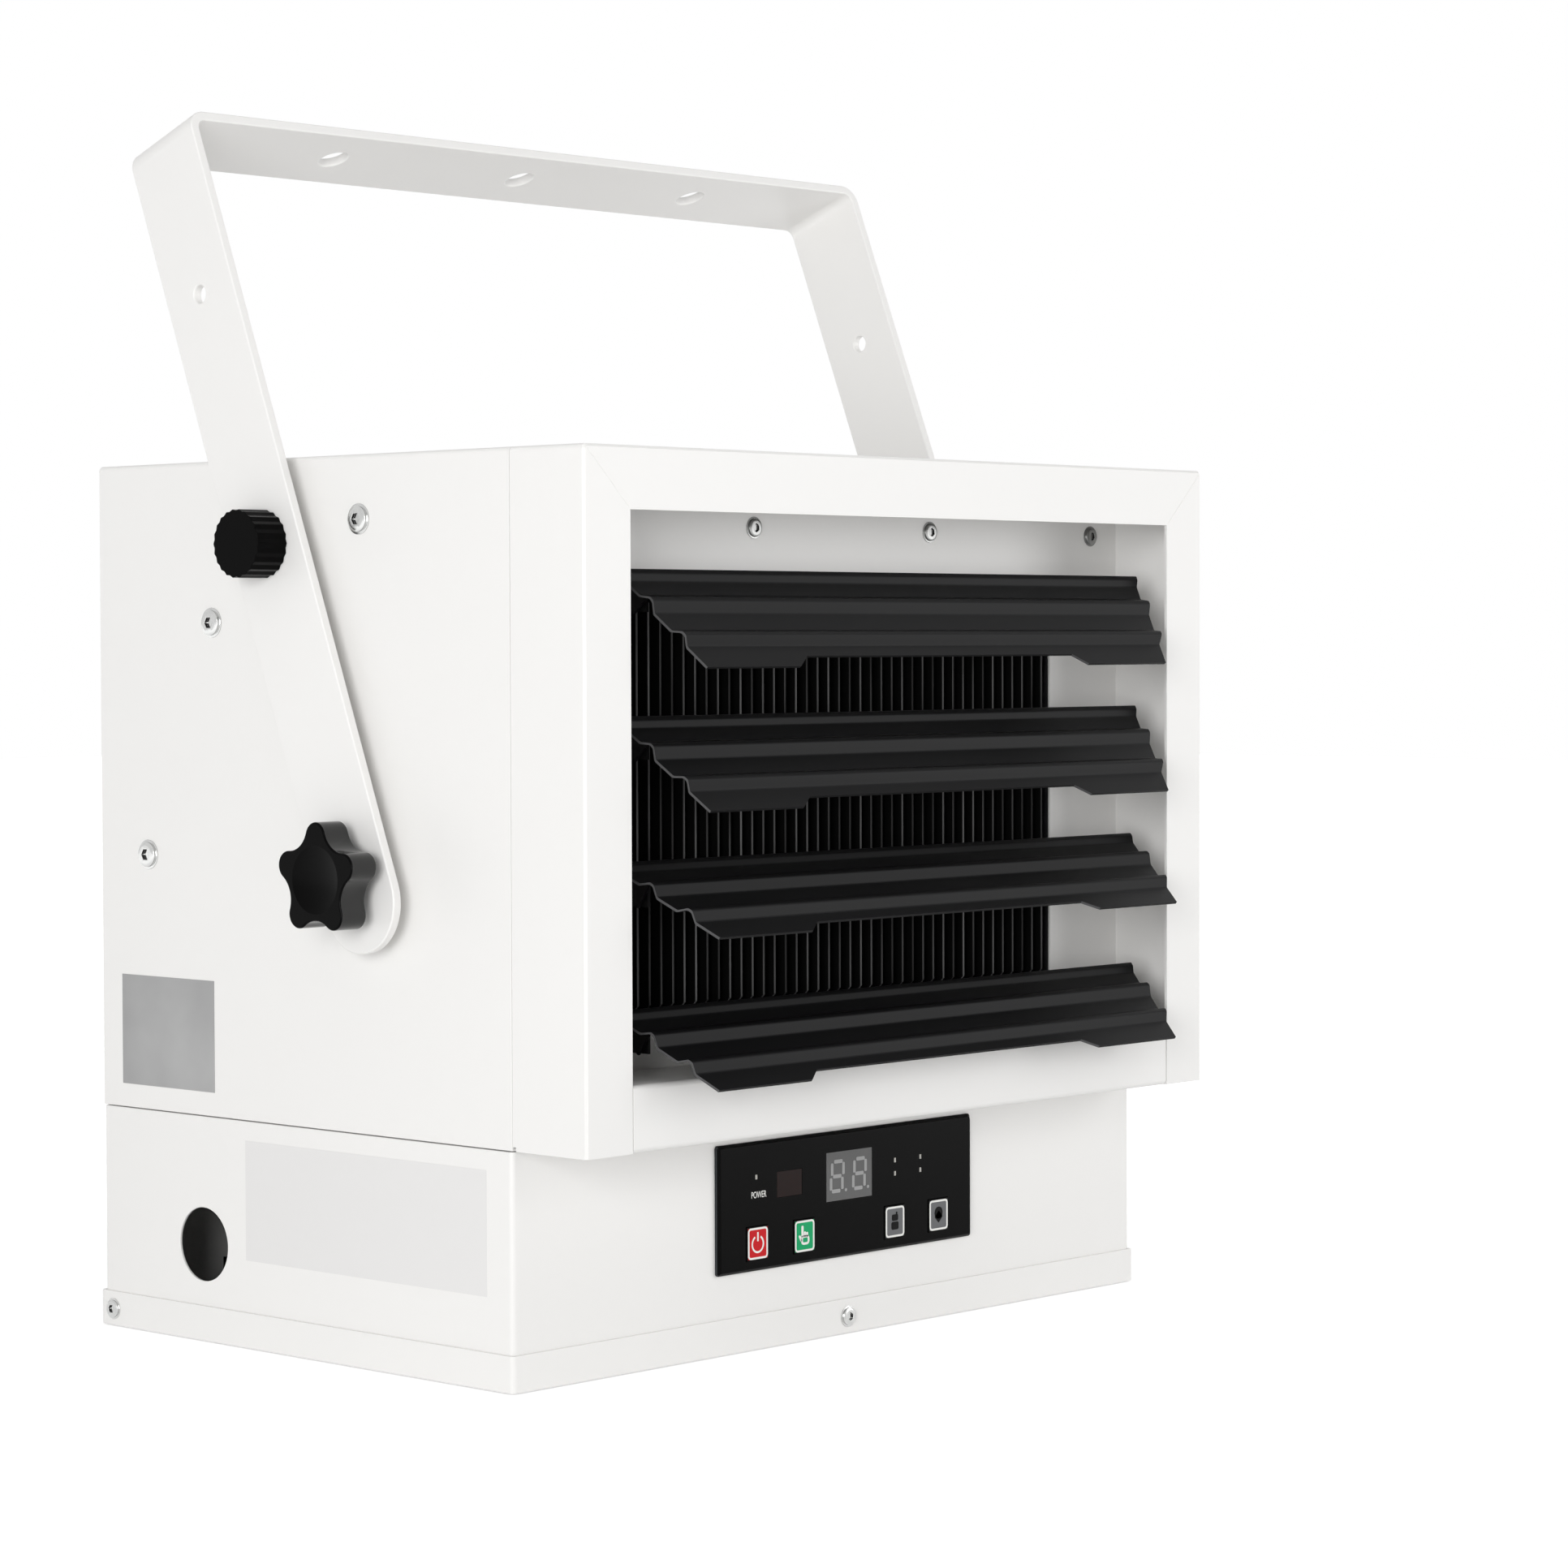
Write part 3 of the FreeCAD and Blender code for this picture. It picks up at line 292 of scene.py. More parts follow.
slotOf = {part["node"]: part["material_slot"] for part in frame["record"]["subparts"]}
for name, node in nodes.items():
    node.data.materials.clear()
    node.data.materials.append(materials[slotOf[name]])


# modelling helpers

def startFresh():
    if bpy.context.mode != "OBJECT":
        bpy.ops.object.mode_set(mode="OBJECT")
    bpy.ops.object.select_all(action="DESELECT")


def makeActive(piece):
    startFresh()
    piece.select_set(True)
    bpy.context.view_layer.objects.active = piece


def applyModifier(piece, kind, settings):
    makeActive(piece)
    modifier = piece.modifiers.new(kind.lower(), kind)
    for name, value in settings.items():
        setattr(modifier, name, value)
    bpy.ops.object.modifier_apply(modifier=modifier.name)


def pickFaces(piece, test):
    # leaves edit mode on with the faces that pass selected
    makeActive(piece)
    bpy.ops.object.mode_set(mode="EDIT")
    bpy.ops.mesh.select_mode(type="FACE")
    bpy.ops.mesh.select_all(action="DESELECT")
    bpy.ops.object.mode_set(mode="OBJECT")
    for face in piece.data.polygons:
        face.select = bool(test(face))
    bpy.ops.object.mode_set(mode="EDIT")


def roundEdges(piece, width, steps, angle=28.0):
    applyModifier(piece, "BEVEL", {
        "width": mm(width), "segments": steps, "limit_method": "ANGLE", "angle_limit": math.radians(angle),
        "use_clamp_overlap": False, "loop_slide": False})


def smooth(piece, angle=32.0):
    # large faces keep their own normals, so that flat sheet stays flat
    makeActive(piece)
    bpy.ops.object.shade_smooth_by_angle(angle=math.radians(angle))
    applyModifier(piece, "WEIGHTED_NORMAL", {"weight": 100, "keep_sharp": True})


def finishPiece(piece, name, material, body):
    # place goes into the mesh, then the piece rides its body
    makeActive(piece)
    bpy.ops.object.transform_apply(location=True, rotation=True, scale=True)
    piece.name = name
    if piece.data.materials:
        piece.data.materials[0] = material
    else:
        piece.data.materials.append(material)
    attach(piece, body)
    return piece


merge = {"apart": 1e-6, "flatAngle": 0.4}  # metres, degrees


def cadCopy(nodeName):
    # the node's own mesh, merged, with its flat faces made whole
    piece = bpy.data.objects.new(nodeName + "Skin", nodes[nodeName].data.copy())
    bpy.context.scene.collection.objects.link(piece)
    makeActive(piece)
    bpy.ops.object.mode_set(mode="EDIT")
    bpy.ops.mesh.select_all(action="SELECT")
    bpy.ops.mesh.remove_doubles(threshold=merge["apart"])
    bpy.ops.mesh.dissolve_limited(angle_limit=math.radians(merge["flatAngle"]))
    bpy.ops.object.mode_set(mode="OBJECT")
    return piece


def bodyOf(nodeName):
    return body_of(nodes[nodeName])[0]


def pickEdges(piece, test):
    # leaves edit mode on with the edges that pass selected; the test takes both ends
    makeActive(piece)
    bpy.ops.object.mode_set(mode="EDIT")
    bpy.ops.mesh.select_mode(type="EDGE")
    bpy.ops.mesh.select_all(action="DESELECT")
    bpy.ops.object.mode_set(mode="OBJECT")
    for edge in piece.data.edges:
        edge.select = bool(test(*[piece.data.vertices[i].co for i in edge.vertices]))
    bpy.ops.object.mode_set(mode="EDIT")


def coatFaces(piece, material, test):
    # second finish on the faces that pass
    piece.data.materials.append(material)
    for face in piece.data.polygons:
        if test(face):
            face.material_index = len(piece.data.materials) - 1


def standIn(piece, nodeName):
    # takes the solid's place under its camelCase name
    words = nodeName.split("_")
    name = words[0] + "".join(word.capitalize() for word in words[1:])
    finishPiece(piece, name, materials[slotOf[nodeName]], bodyOf(nodeName))
    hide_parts(nodeName)


def copyTo(piece, name, matrix, material, body):
    twin = piece.copy()
    twin.data = piece.data.copy()
    bpy.context.scene.collection.objects.link(twin)
    twin.matrix_world = matrix
    return finishPiece(twin, name, material, body)


# folded sheet and strip: the solids with their edges eased

sheetEdges = {
    # width of the eased edge in mm, steps
    "cabinet_wrap": (0.35, 2), "hood_bottom_rail": (0.35, 2), "outlet_panel": (0.3, 2), "base_box": (0.35, 2),
    "base_tray": (0.35, 2), "rear_panel": (0.3, 2), "mounting_bracket": (0.7, 3),
}
for nodeName, (width, steps) in sheetEdges.items():
    skin = cadCopy(nodeName)
    roundEdges(skin, width, steps)
    smooth(skin)
    standIn(skin, nodeName)
print("sheet pieces eased:", len(sheetEdges))


# louvres: pressed ridges with rounded folds, cut ends left crisp

louvre = {
    "count": 4, "foldRound": 0.85, "foldSteps": 4, "shortestFold": 200.0,
    "endTurn": 0.5, "largestEnd": 16.0,  # cut ends: share of the normal along X, mm2
}
for index in range(1, louvre["count"] + 1):
    nodeName = "louvre_" + str(index)
    skin = cadCopy(nodeName)
    pickEdges(skin, lambda a, b: abs(a.x - b.x) > mm(louvre["shortestFold"]))
    bpy.ops.mesh.bevel(offset=mm(louvre["foldRound"]), segments=louvre["foldSteps"], affect="EDGES",
                       clamp_overlap=True)
    bpy.ops.object.mode_set(mode="OBJECT")
    # painted highlight on the louvres' cut ends
    coatFaces(skin, louvreEndHighlight, lambda face: abs(face.normal.x) > louvre["endTurn"]
              and face.area < louvre["largestEnd"] * mm(1) ** 2)
    smooth(skin)
    standIn(skin, nodeName)
print("louvres made")

edgeTurn = -0.7  # faces of the fins that look forward more than this are their front edges
# painted highlight: the fins' front edges get the grey edge tone
coatFaces(nodes["heater_fins"], finEdgeHighlight, lambda face: face.normal.y < edgeTurn)


# axis of the star knobs, with the ring of lock holes around it
pivot = {"y": -46.1, "z": 189.0, "lockRadius": 136.5}


# star knobs: lobes rounded over, round dish in the face

starKnob = {
    "edgeRound": 0.8, "edgeSteps": 4, "edgeAngle": 40.0, "smoothAngle": 24.0, "flankTurn": 0.5,
    "dishRadius": 13.0, "dishDepth": 1.3, "ballSegments": 96, "ballRings": 192,
}
dishBall = (starKnob["dishRadius"] ** 2 + starKnob["dishDepth"] ** 2) / (2 * starKnob["dishDepth"])
for side, sign in (("left", -1), ("right", 1)):
    nodeName = "star_knob_" + side
    knob = cadCopy(nodeName)
    roundEdges(knob, starKnob["edgeRound"], starKnob["edgeSteps"], starKnob["edgeAngle"])
    low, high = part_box(nodeName)
    faceX = low.x if sign < 0 else high.x
    ballX = faceX + sign * mm(dishBall - starKnob["dishDepth"])
    startFresh()
    bpy.ops.mesh.primitive_uv_sphere_add(segments=starKnob["ballSegments"], ring_count=starKnob["ballRings"],
                                         radius=mm(dishBall), rotation=(0, math.pi / 2, 0),
                                         location=(ballX, mm(pivot["y"]), mm(pivot["z"])))
    ball = bpy.context.object
    applyModifier(knob, "BOOLEAN", {"object": ball, "operation": "DIFFERENCE"})
    bpy.data.objects.remove(ball)
    coatFaces(knob, polishedBlack, lambda face: abs(face.normal.x) < starKnob["flankTurn"])
    smooth(knob, starKnob["smoothAngle"])
    finishPiece(knob, "starKnob" + side.capitalize(), mouldedBlack, nodeName)
    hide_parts(nodeName)


# thumb knobs: knurled rim with its edges just broken

thumbKnob = {"edgeRound": 0.22, "edgeSteps": 2, "edgeAngle": 15.0, "smoothAngle": 50.0}
for side in ("left", "right"):
    nodeName = "thumb_knob_" + side
    knob = cadCopy(nodeName)
    roundEdges(knob, thumbKnob["edgeRound"], thumbKnob["edgeSteps"], thumbKnob["edgeAngle"])
    smooth(knob, thumbKnob["smoothAngle"])
    finishPiece(knob, "thumbKnob" + side.capitalize(), mouldedBlack, nodeName)
    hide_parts(nodeName)
print("knobs made")


# socket button screws with their washers, modelled once along +Z and copied

buttonScrew = {
    "sides": 40, "washerRadius": 6.0, "washerHeight": 0.5, "headInset": 1.0, "headHeight": 1.5,
    "crownInset": 1.4, "crownDrop": 0.6, "socketAcross": 4.2, "socketDepth": 1.2, "topTurn": 0.9,
    "edgeRound": 0.18, "edgeSteps": 2, "edgeAngle": 25.0, "smoothAngle": 40.0,
    # what counts as the socket's wall: reach as a share of its width, depth in mm, upward share of its normal
    "wallReach": 0.56, "wallBelow": 0.25, "wallTurn": 0.5,
}


def modelButtonScrew():
    size = buttonScrew
    startFresh()
    bpy.ops.mesh.primitive_cylinder_add(vertices=size["sides"], radius=mm(size["washerRadius"]),
                                        depth=mm(size["washerHeight"]),
                                        location=(0, 0, mm(size["washerHeight"] / 2)))
    screw = bpy.context.object
    bpy.ops.object.transform_apply(location=True)
    pickFaces(screw, lambda face: face.normal.z > size["topTurn"])
    bpy.ops.mesh.inset(thickness=mm(size["headInset"]))
    straight = size["headHeight"] - size["crownDrop"]
    bpy.ops.mesh.extrude_region_move(TRANSFORM_OT_translate={"value": (0, 0, mm(straight))})
    bpy.ops.mesh.inset(thickness=mm(size["crownInset"]), depth=mm(size["crownDrop"]))
    bpy.ops.object.mode_set(mode="OBJECT")
    startFresh()
    top = size["washerHeight"] + size["headHeight"]
    bpy.ops.mesh.primitive_cylinder_add(vertices=6, radius=mm(size["socketAcross"] / math.sqrt(3)),
                                        depth=mm(size["socketDepth"] * 2), location=(0, 0, mm(top)))
    socket = bpy.context.object
    applyModifier(screw, "BOOLEAN", {"object": socket, "operation": "DIFFERENCE"})
    bpy.data.objects.remove(socket)
    roundEdges(screw, size["edgeRound"], size["edgeSteps"], size["edgeAngle"])
    smooth(screw, size["smoothAngle"])
    screw.data.materials.append(zincPlate)
    # painted shade on the socket's walls
    coatFaces(screw, socketShade,
              lambda face: face.center.xy.length < mm(size["socketAcross"] * size["wallReach"])
              and face.center.z < mm(top - size["wallBelow"]) and face.normal.z < size["wallTurn"])
    return screw


cabinet = {"halfWidth": 185.0, "frontY": -120.5, "rearY": 120.5}
screwPlaces = {
    "plugAngles": (3.5, 44.6, 88.3), "panelCount": 4, "panelPitch": 105.5, "panelRow": 322.5,
    "trayRow": 6.8, "trayLip": 1.3, "trayInset": 7.0, "rearX": 175.8, "rearRows": (99.2, 340.8),
    "smallWasher": 4.3,
}
smallScale = screwPlaces["smallWasher"] / buttonScrew["washerRadius"]
forward, backward = Vector((0, -1, 0)), Vector((0, 1, 0))
screwSeats = []
for side in (-1, 1):
    for angle in screwPlaces["plugAngles"]:
        turn = math.radians(angle)
        seat = place(side * cabinet["halfWidth"], pivot["y"] + pivot["lockRadius"] * math.sin(turn),
                     pivot["z"] + pivot["lockRadius"] * math.cos(turn))
        screwSeats.append(("plugScrew", seat, Vector((side, 0, 0)), 1.0, "side_plug_screws"))
for i in range(screwPlaces["panelCount"]):
    seat = place((i - (screwPlaces["panelCount"] - 1) / 2) * screwPlaces["panelPitch"], cabinet["frontY"],
                 screwPlaces["panelRow"])
    screwSeats.append(("panelScrew", seat, forward, smallScale, "outlet_panel_screws"))
seat = place(0, cabinet["frontY"] - screwPlaces["trayLip"], screwPlaces["trayRow"])
screwSeats.append(("trayScrew", seat, forward, smallScale, "tray_screws"))
for side in (-1, 1):
    seat = place(side * (cabinet["halfWidth"] + screwPlaces["trayLip"]),
                 cabinet["rearY"] - screwPlaces["trayInset"], screwPlaces["trayRow"])
    screwSeats.append(("trayScrew", seat, Vector((side, 0, 0)), smallScale, "tray_screws"))
    for z in screwPlaces["rearRows"]:
        seat = place(side * screwPlaces["rearX"], cabinet["rearY"], z)
        screwSeats.append(("rearScrew", seat, backward, smallScale, "rear_panel_screws"))
screwModel = modelButtonScrew()
for index, (name, seat, outward, scale, nodeName) in enumerate(screwSeats):
    turned = Vector((0, 0, 1)).rotation_difference(outward).to_matrix().to_4x4()
    matrix = Matrix.Translation(seat) @ turned @ Matrix.Scale(scale, 4)
    # the screws in the outlet get the painted-shade zinc
    finish = shadedZinc if name == "panelScrew" else zincPlate
    twin = copyTo(screwModel, name + str(index + 1), matrix, finish, "cabinet")
    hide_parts(nodeName)
bpy.data.objects.remove(screwModel)
print("screws placed:", len(screwSeats))


# control panel: key outlines, signs, digits and marks

panelSize = {
    "faceY": -122.7, "corner": 1.2, "cornerSteps": 5, "cornerReach": 0.1, "cornerLength": 0.5,
    "edgeRound": 0.2, "edgeSteps": 2, "rimTurn": -0.6, "rimWidth": 0.6,
    "keyFaceY": -123.1, "keyRow": 42.2, "capRound": 0.3, "capSteps": 3, "capRim": 0.3, "capTurn": -0.99,
    "capReach": 0.05, "outlineWidth": 11.4, "outlineHeight": 12.4, "outlineLine": 0.8, "outlineCorner": 1.6,
    "inkHeight": 0.06, "signLine": 0.78, "inkCornerSteps": 5,
}
keyPlaces = {"key_power": -54.6, "key_manual": -27.3, "key_mode": 27.3, "key_heat": 54.6}

plate = cadCopy("control_panel")
low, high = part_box("control_panel")
pickEdges(plate, lambda a, b: abs(a.y - b.y) > mm(panelSize["cornerLength"])
          and min(a.x - low.x, high.x - a.x) < mm(panelSize["cornerReach"])
          and min(a.z - low.z, high.z - a.z) < mm(panelSize["cornerReach"]))
bpy.ops.mesh.bevel(offset=mm(panelSize["corner"]), segments=panelSize["cornerSteps"], affect="EDGES",
                   loop_slide=False)
bpy.ops.object.mode_set(mode="OBJECT")
roundEdges(plate, panelSize["edgeRound"], panelSize["edgeSteps"])
smooth(plate)
# painted highlight on the panel's left and right side faces
coatFaces(plate, rimHighlight, lambda face: face.normal.y > panelSize["rimTurn"]
          and min(face.center.x - low.x, high.x - face.center.x) < mm(panelSize["rimWidth"]))
standIn(plate, "control_panel")
for nodeName in keyPlaces:
    cap = cadCopy(nodeName)
    roundEdges(cap, panelSize["capRound"], panelSize["capSteps"])
    pickFaces(cap, lambda face: face.normal.y < panelSize["capTurn"]
              and face.center.y < mm(panelSize["keyFaceY"] + panelSize["capReach"]))
    bpy.ops.mesh.inset(thickness=mm(panelSize["capRim"]))
    bpy.ops.object.mode_set(mode="OBJECT")
    field = {face.index for face in cap.data.polygons if face.select}
    coatFaces(cap, panelGloss, lambda face: face.index not in field)
    smooth(cap)
    standIn(cap, nodeName)
print("panel and caps made")


def inkBar(x, z, width, height, faceY, turn=0.0, corner=0.0):
    # flat printed bar facing -Y
    startFresh()
    bpy.ops.mesh.primitive_cube_add(size=1.0, location=place(x, faceY - panelSize["inkHeight"] / 2, z),
                                    rotation=(0, turn, 0))
    bar = bpy.context.object
    bar.scale = (mm(width), mm(panelSize["inkHeight"] * 2), mm(height))
    bpy.ops.object.transform_apply(location=True, rotation=True, scale=True)
    if corner:
        pickEdges(bar, lambda a, b: abs(a.y - b.y) > mm(panelSize["inkHeight"]))
        bpy.ops.mesh.bevel(offset=mm(corner), segments=panelSize["inkCornerSteps"], affect="EDGES")
        bpy.ops.object.mode_set(mode="OBJECT")
    return bar


def inkRing(x, z, radius, line, faceY, gapAngle=0.0):
    # flat printed ring facing -Y, open at the top by the gap
    startFresh()
    bpy.ops.mesh.primitive_torus_add(major_radius=mm(radius), minor_radius=mm(line / 2), major_segments=48,
                                     minor_segments=8, location=(0, 0, 0), rotation=(math.pi / 2, 0, 0))
    ring = bpy.context.object
    ring.scale = (1, 1, 2 * panelSize["inkHeight"] / line)
    bpy.ops.object.transform_apply(rotation=True, scale=True)
    if gapAngle:
        pickFaces(ring, lambda face: abs(math.atan2(face.center.x, face.center.z)) < math.radians(gapAngle))
        bpy.ops.mesh.delete(type="FACE")
        bpy.ops.mesh.select_all(action="SELECT")
        bpy.ops.mesh.fill_holes(sides=0)
        bpy.ops.object.mode_set(mode="OBJECT")
    ring.location = place(x, faceY, z)
    return ring


def inkFrame(x, z, width, height, line, corner, faceY):
    # rounded outline: a bar with its middle taken out
    frameBar = inkBar(x, z, width, height, faceY, 0.0, corner)
    hole = inkBar(x, z, width - 2 * line, height - 2 * line, faceY, 0.0, corner - line)
    for vertex in hole.data.vertices:
        vertex.co.y = mm(faceY) + (vertex.co.y - mm(faceY)) * 4  # deep enough to cut through
    applyModifier(frameBar, "BOOLEAN", {"object": hole, "operation": "DIFFERENCE"})
    bpy.data.objects.remove(hole)
    return frameBar


def joined(shapes):
    startFresh()
    for shape in shapes:
        shape.select_set(True)
    bpy.context.view_layer.objects.active = shapes[0]
    if len(shapes) > 1:
        bpy.ops.object.join()
    return bpy.context.view_layer.objects.active


# the four signs, drawn in mm from the middle of their keys

def powerSign(x, z, y):
    # open ring with a stroke in its gap
    line = panelSize["signLine"]
    return [inkRing(x, z - 0.3, 3.2, line, y, 32.0), inkBar(x, z + 2.6, line, 3.6, y)]


def handSign(x, z, y):
    # pointing hand: finger, folded fingers, palm and thumb
    return [
        inkBar(x - 1.3, z + 1.9, 1.2, 4.6, y, 0.0, 0.5), inkBar(x + 0.1, z + 0.7, 1.1, 2.2, y, 0.0, 0.5),
        inkBar(x + 1.4, z + 0.5, 1.1, 2.0, y, 0.0, 0.5), inkFrame(x + 0.3, z - 1.6, 4.8, 3.8, 0.95, 1.5, y),
        inkBar(x - 2.5, z - 0.8, 1.0, 2.8, y, -0.5, 0.45),
    ]


def modeSign(x, z, y):
    # two blocks, one above the other, with a tab
    return [inkBar(x, z + 1.7, 3.8, 2.6, y, 0.0, 0.7), inkBar(x, z - 1.6, 4.4, 3.2, y, 0.0, 0.8),
            inkBar(x + 1.0, z + 3.4, 0.9, 1.2, y, 0.0, 0.3)]


def heatSign(x, z, y):
    # drop: a round head that runs down to a point
    return [inkBar(x, z + 0.9, 5.0, 5.0, y, 0.0, 2.4), inkBar(x, z - 0.7, 3.6, 3.6, y, math.pi / 4, 0.3)]


signs = {
    "key_power": (powerSign, printWhite), "key_manual": (handSign, printWhite),
    "key_mode": (modeSign, printBlack), "key_heat": (heatSign, printBlack),
}
for nodeName, x in keyPlaces.items():
    y, z = panelSize["keyFaceY"], panelSize["keyRow"]
    sign, ink = signs[nodeName]
    outline = inkFrame(x, z, panelSize["outlineWidth"], panelSize["outlineHeight"], panelSize["outlineLine"],
                       panelSize["outlineCorner"], y)
    label = nodeName.replace("key_", "print")
    finishPiece(outline, label + "Outline", printWhite, nodeName)
    finishPiece(joined(sign(x, z, y)), label + "Sign", ink, nodeName)
print("key signs printed")

digitSize = {
    "height": 11.8, "width": 6.8, "line": 1.5, "pitch": 13.4, "lean": 0.7, "gap": 0.12, "corner": 0.5,
    "point": 1.3, "pointCorner": 0.6, "pointAway": 1.8, "row": 64.0, "shift": -0.6, "sunk": 0.1,
}


def digitBars(x, z, y):
    # seven bars of an unlit eight, with its point
    size = digitSize
    half = size["height"] / 2
    across = size["width"] - size["line"] - 2 * size["gap"]
    upright = half - size["line"] / 2 - 2 * size["gap"]
    bars = []
    for rise in (-half, 0, half):
        lean = size["lean"] * rise / half
        bars.append(inkBar(x + lean, z + rise, across, size["line"], y, 0.0, size["corner"]))
    for side in (-1, 1):
        for rise in (-half / 2, half / 2):
            lean = size["lean"] * rise / half
            bars.append(inkBar(x + side * size["width"] / 2 + lean, z + rise, size["line"], upright, y, 0.0,
                               size["corner"]))
    pointX = x + size["width"] / 2 + size["pointAway"]
    bars.append(inkBar(pointX, z - half, size["point"], size["point"], y, 0.0, size["pointCorner"]))
    return bars


digits = []
for side in (-0.5, 0.5):
    digits = digits + digitBars(side * digitSize["pitch"] + digitSize["shift"], digitSize["row"],
                                panelSize["faceY"] + digitSize["sunk"])
finishPiece(joined(digits), "displayDigits", digitGrey, "cabinet")
nodes["display_window"].data.materials[0] = displayGlass

powerWord = {"text": "POWER", "height": 3.7, "x": -53.6, "z": 60.0, "narrow": 0.68}
startFresh()
bpy.ops.object.text_add(location=(0, 0, 0))
word = bpy.context.object
word.data.body = powerWord["text"]
word.data.size = mm(powerWord["height"])
word.data.align_x = "CENTER"
word.data.extrude = mm(panelSize["inkHeight"])
makeActive(word)
bpy.ops.object.convert(target="MESH")
word = bpy.context.object
word.rotation_euler = (math.pi / 2, 0, 0)
word.scale.x = powerWord["narrow"]
word.location = place(powerWord["x"], panelSize["faceY"], powerWord["z"])
finishPiece(word, "powerWord", printWhite, "cabinet")
print("display and word printed")


# blank plates on the left side

plates = {
    "ratingPlate": {"y": (49.9, 107.8), "z": (99.5, 144.0), "thick": 0.15, "finish": foilPlate},
    "sideLabel": {"y": (-106.7, 31.5), "z": (34.5, 82.0), "thick": 0.1, "finish": vinylLabel},
}
plateEdge = {"share": 0.3, "steps": 2}  # eased edge as a share of the plate's thickness
for name, size in plates.items():
    startFresh()
    y0, y1 = size["y"]
    z0, z1 = size["z"]
    bpy.ops.mesh.primitive_cube_add(size=1.0, location=place(
        -cabinet["halfWidth"] - size["thick"] / 2, (y0 + y1) / 2, (z0 + z1) / 2))
    plate = bpy.context.object
    plate.scale = (mm(size["thick"]), mm(y1 - y0), mm(z1 - z0))
    bpy.ops.object.transform_apply(location=True, rotation=True, scale=True)
    roundEdges(plate, size["thick"] * plateEdge["share"], plateEdge["steps"])
    finishPiece(plate, name, size["finish"], "cabinet")
print("plates placed:", len(plates))


# stage, light and camera

def backdropRays(tree):
    # 1 for the rays that show the backdrop: to the camera, in a mirror and through glass
    rays = addNode(tree, "ShaderNodeLightPath")
    seen = addNode(tree, "ShaderNodeMath", {"operation": "MAXIMUM"}, {
        0: rays.outputs["Is Camera Ray"], 1: rays.outputs["Is Glossy Ray"]})
    seen = addNode(tree, "ShaderNodeMath", {"operation": "MAXIMUM"}, {
        0: seen.outputs["Value"], 1: rays.outputs["Is Transmission Ray"]})
    return seen.outputs["Value"]


stage = {
    # metres; the floor glows for the rays that show it, more with the distance
    "floorSide": 14.0, "floorDrop": 0.0005, "glowFrom": 0.3, "glowTo": 1.2, "nearGlow": 0.5, "farGlow": 1.1,
    "skyOnObject": 0.45, "skySeen": 1.0,
}
startFresh()
bpy.ops.mesh.primitive_plane_add(size=stage["floorSide"], location=(0, 0, -stage["floorDrop"]))
floor = bpy.context.object
floor.name = "paleFloor"
# matt studio paper: even and pale, with no shine
floorPaper = newMaterial("paleStudioPaper", {"Base Color": colour("#f4f4f4"), "Roughness": 0.9})
tree, surface = surfaceOf(floorPaper)
where = addNode(tree, "ShaderNodeTexCoord")
away = addNode(tree, "ShaderNodeVectorMath", {"operation": "LENGTH"}, {0: where.outputs["Object"]})
fade = addNode(tree, "ShaderNodeMapRange", None, {
    "Value": away.outputs["Value"], "From Min": stage["glowFrom"], "From Max": stage["glowTo"],
    "To Min": stage["nearGlow"], "To Max": stage["farGlow"]})
glow = addNode(tree, "ShaderNodeEmission", None, {"Color": (1, 1, 1, 1), "Strength": fade.outputs["Result"]})
mix = addNode(tree, "ShaderNodeMixShader", None, {
    "Fac": backdropRays(tree), 1: surface.outputs["BSDF"]})
blendIn = addNode(tree, "ShaderNodeAddShader", None, {
    0: surface.outputs["BSDF"], 1: glow.outputs["Emission"]})
tree.links.new(blendIn.outputs["Shader"], mix.inputs[2])
tree.links.new(mix.outputs["Shader"], tree.nodes["Material Output"].inputs["Surface"])
floor.data.materials.append(floorPaper)

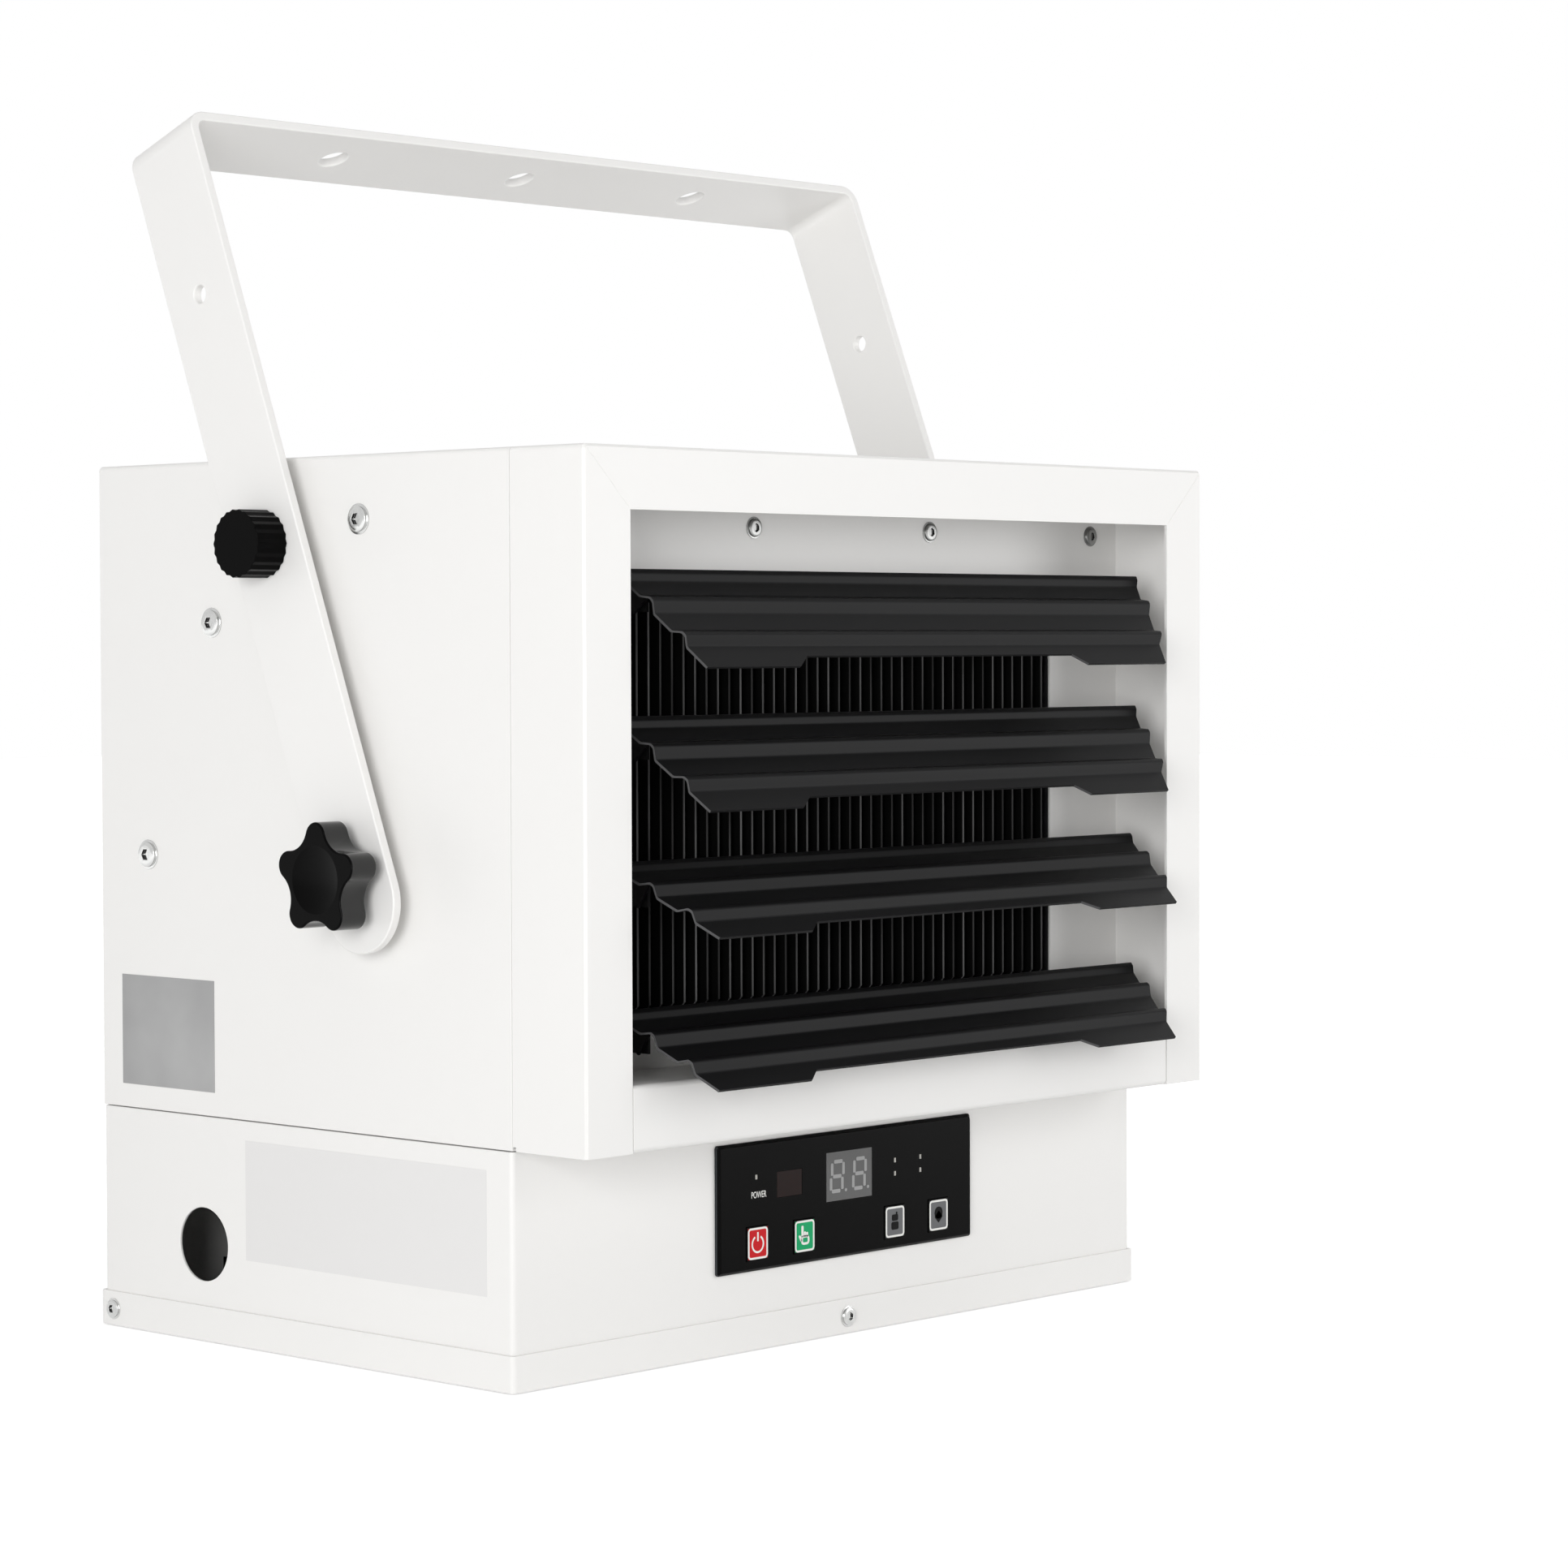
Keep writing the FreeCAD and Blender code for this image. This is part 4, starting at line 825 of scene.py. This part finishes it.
world = bpy.data.worlds.new("softStudio")
bpy.context.scene.world = world
world.use_nodes = True
tree = world.node_tree
level = addNode(tree, "ShaderNodeMapRange", None, {
    "Value": backdropRays(tree), "To Min": stage["skyOnObject"], "To Max": stage["skySeen"]})
sky = tree.nodes["Background"]
sky.inputs["Color"].default_value = (1, 1, 1, 1)
tree.links.new(level.outputs["Result"], sky.inputs["Strength"])

lamps = {
    # position in m, size in m, watts
    "leftLamp": ((-2.2, -1.2, 0.5), 1.0, 29.5),
    "rightLamp": ((1.6, -1.8, 0.6), 1.2, 14.4),
    "topLamp": ((0.0, -0.6, 2.4), 1.6, 4.0),
}
lampTarget = place(0, 0, 200)
for name, (spot, size, watts) in lamps.items():
    lamp = bpy.data.lights.new(name, "AREA")
    lamp.energy = watts
    lamp.size = size
    holder = bpy.data.objects.new(name, lamp)
    holder.location = spot
    holder.rotation_euler = (lampTarget - Vector(spot)).to_track_quat("-Z", "Y").to_euler()
    bpy.context.scene.collection.objects.link(holder)

photoCamera = {
    # mm, degrees, and pixels of the square image
    "spot": (-1247.774, -1231.396, 277.612), "yaw": 46.77323, "pitch": -1.72973, "roll": -0.19224,
    "focal": 5137.05, "imageSide": 1932.0, "centreX": 901.574, "centreY": 947.031, "sensor": 36.0,
    "clipEnd": 30.0,
}
yaw, pitch, roll = [math.radians(photoCamera[key]) for key in ("yaw", "pitch", "roll")]
look = Vector((math.sin(yaw) * math.cos(pitch), math.cos(yaw) * math.cos(pitch), math.sin(pitch)))
right = Vector((math.cos(yaw), -math.sin(yaw), 0))
up = right.cross(look)
rightRolled = right * math.cos(roll) + up * math.sin(roll)
upRolled = up * math.cos(roll) - right * math.sin(roll)
lens = bpy.data.cameras.new("photoCamera")
side = photoCamera["imageSide"]
lens.sensor_width = photoCamera["sensor"]
lens.lens = photoCamera["focal"] / side * photoCamera["sensor"]
lens.shift_x = (side / 2 - photoCamera["centreX"]) / side
lens.shift_y = (photoCamera["centreY"] - side / 2) / side
lens.clip_end = photoCamera["clipEnd"]
camera = bpy.data.objects.new("photoCamera", lens)
bpy.context.scene.collection.objects.link(camera)
axes = Matrix((rightRolled, upRolled, -look)).transposed().to_4x4()
camera.matrix_world = Matrix.Translation(place(*photoCamera["spot"])) @ axes
bpy.context.scene.camera = camera
bpy.context.scene.view_settings.view_transform = "Standard"
print("stage, light and camera set")
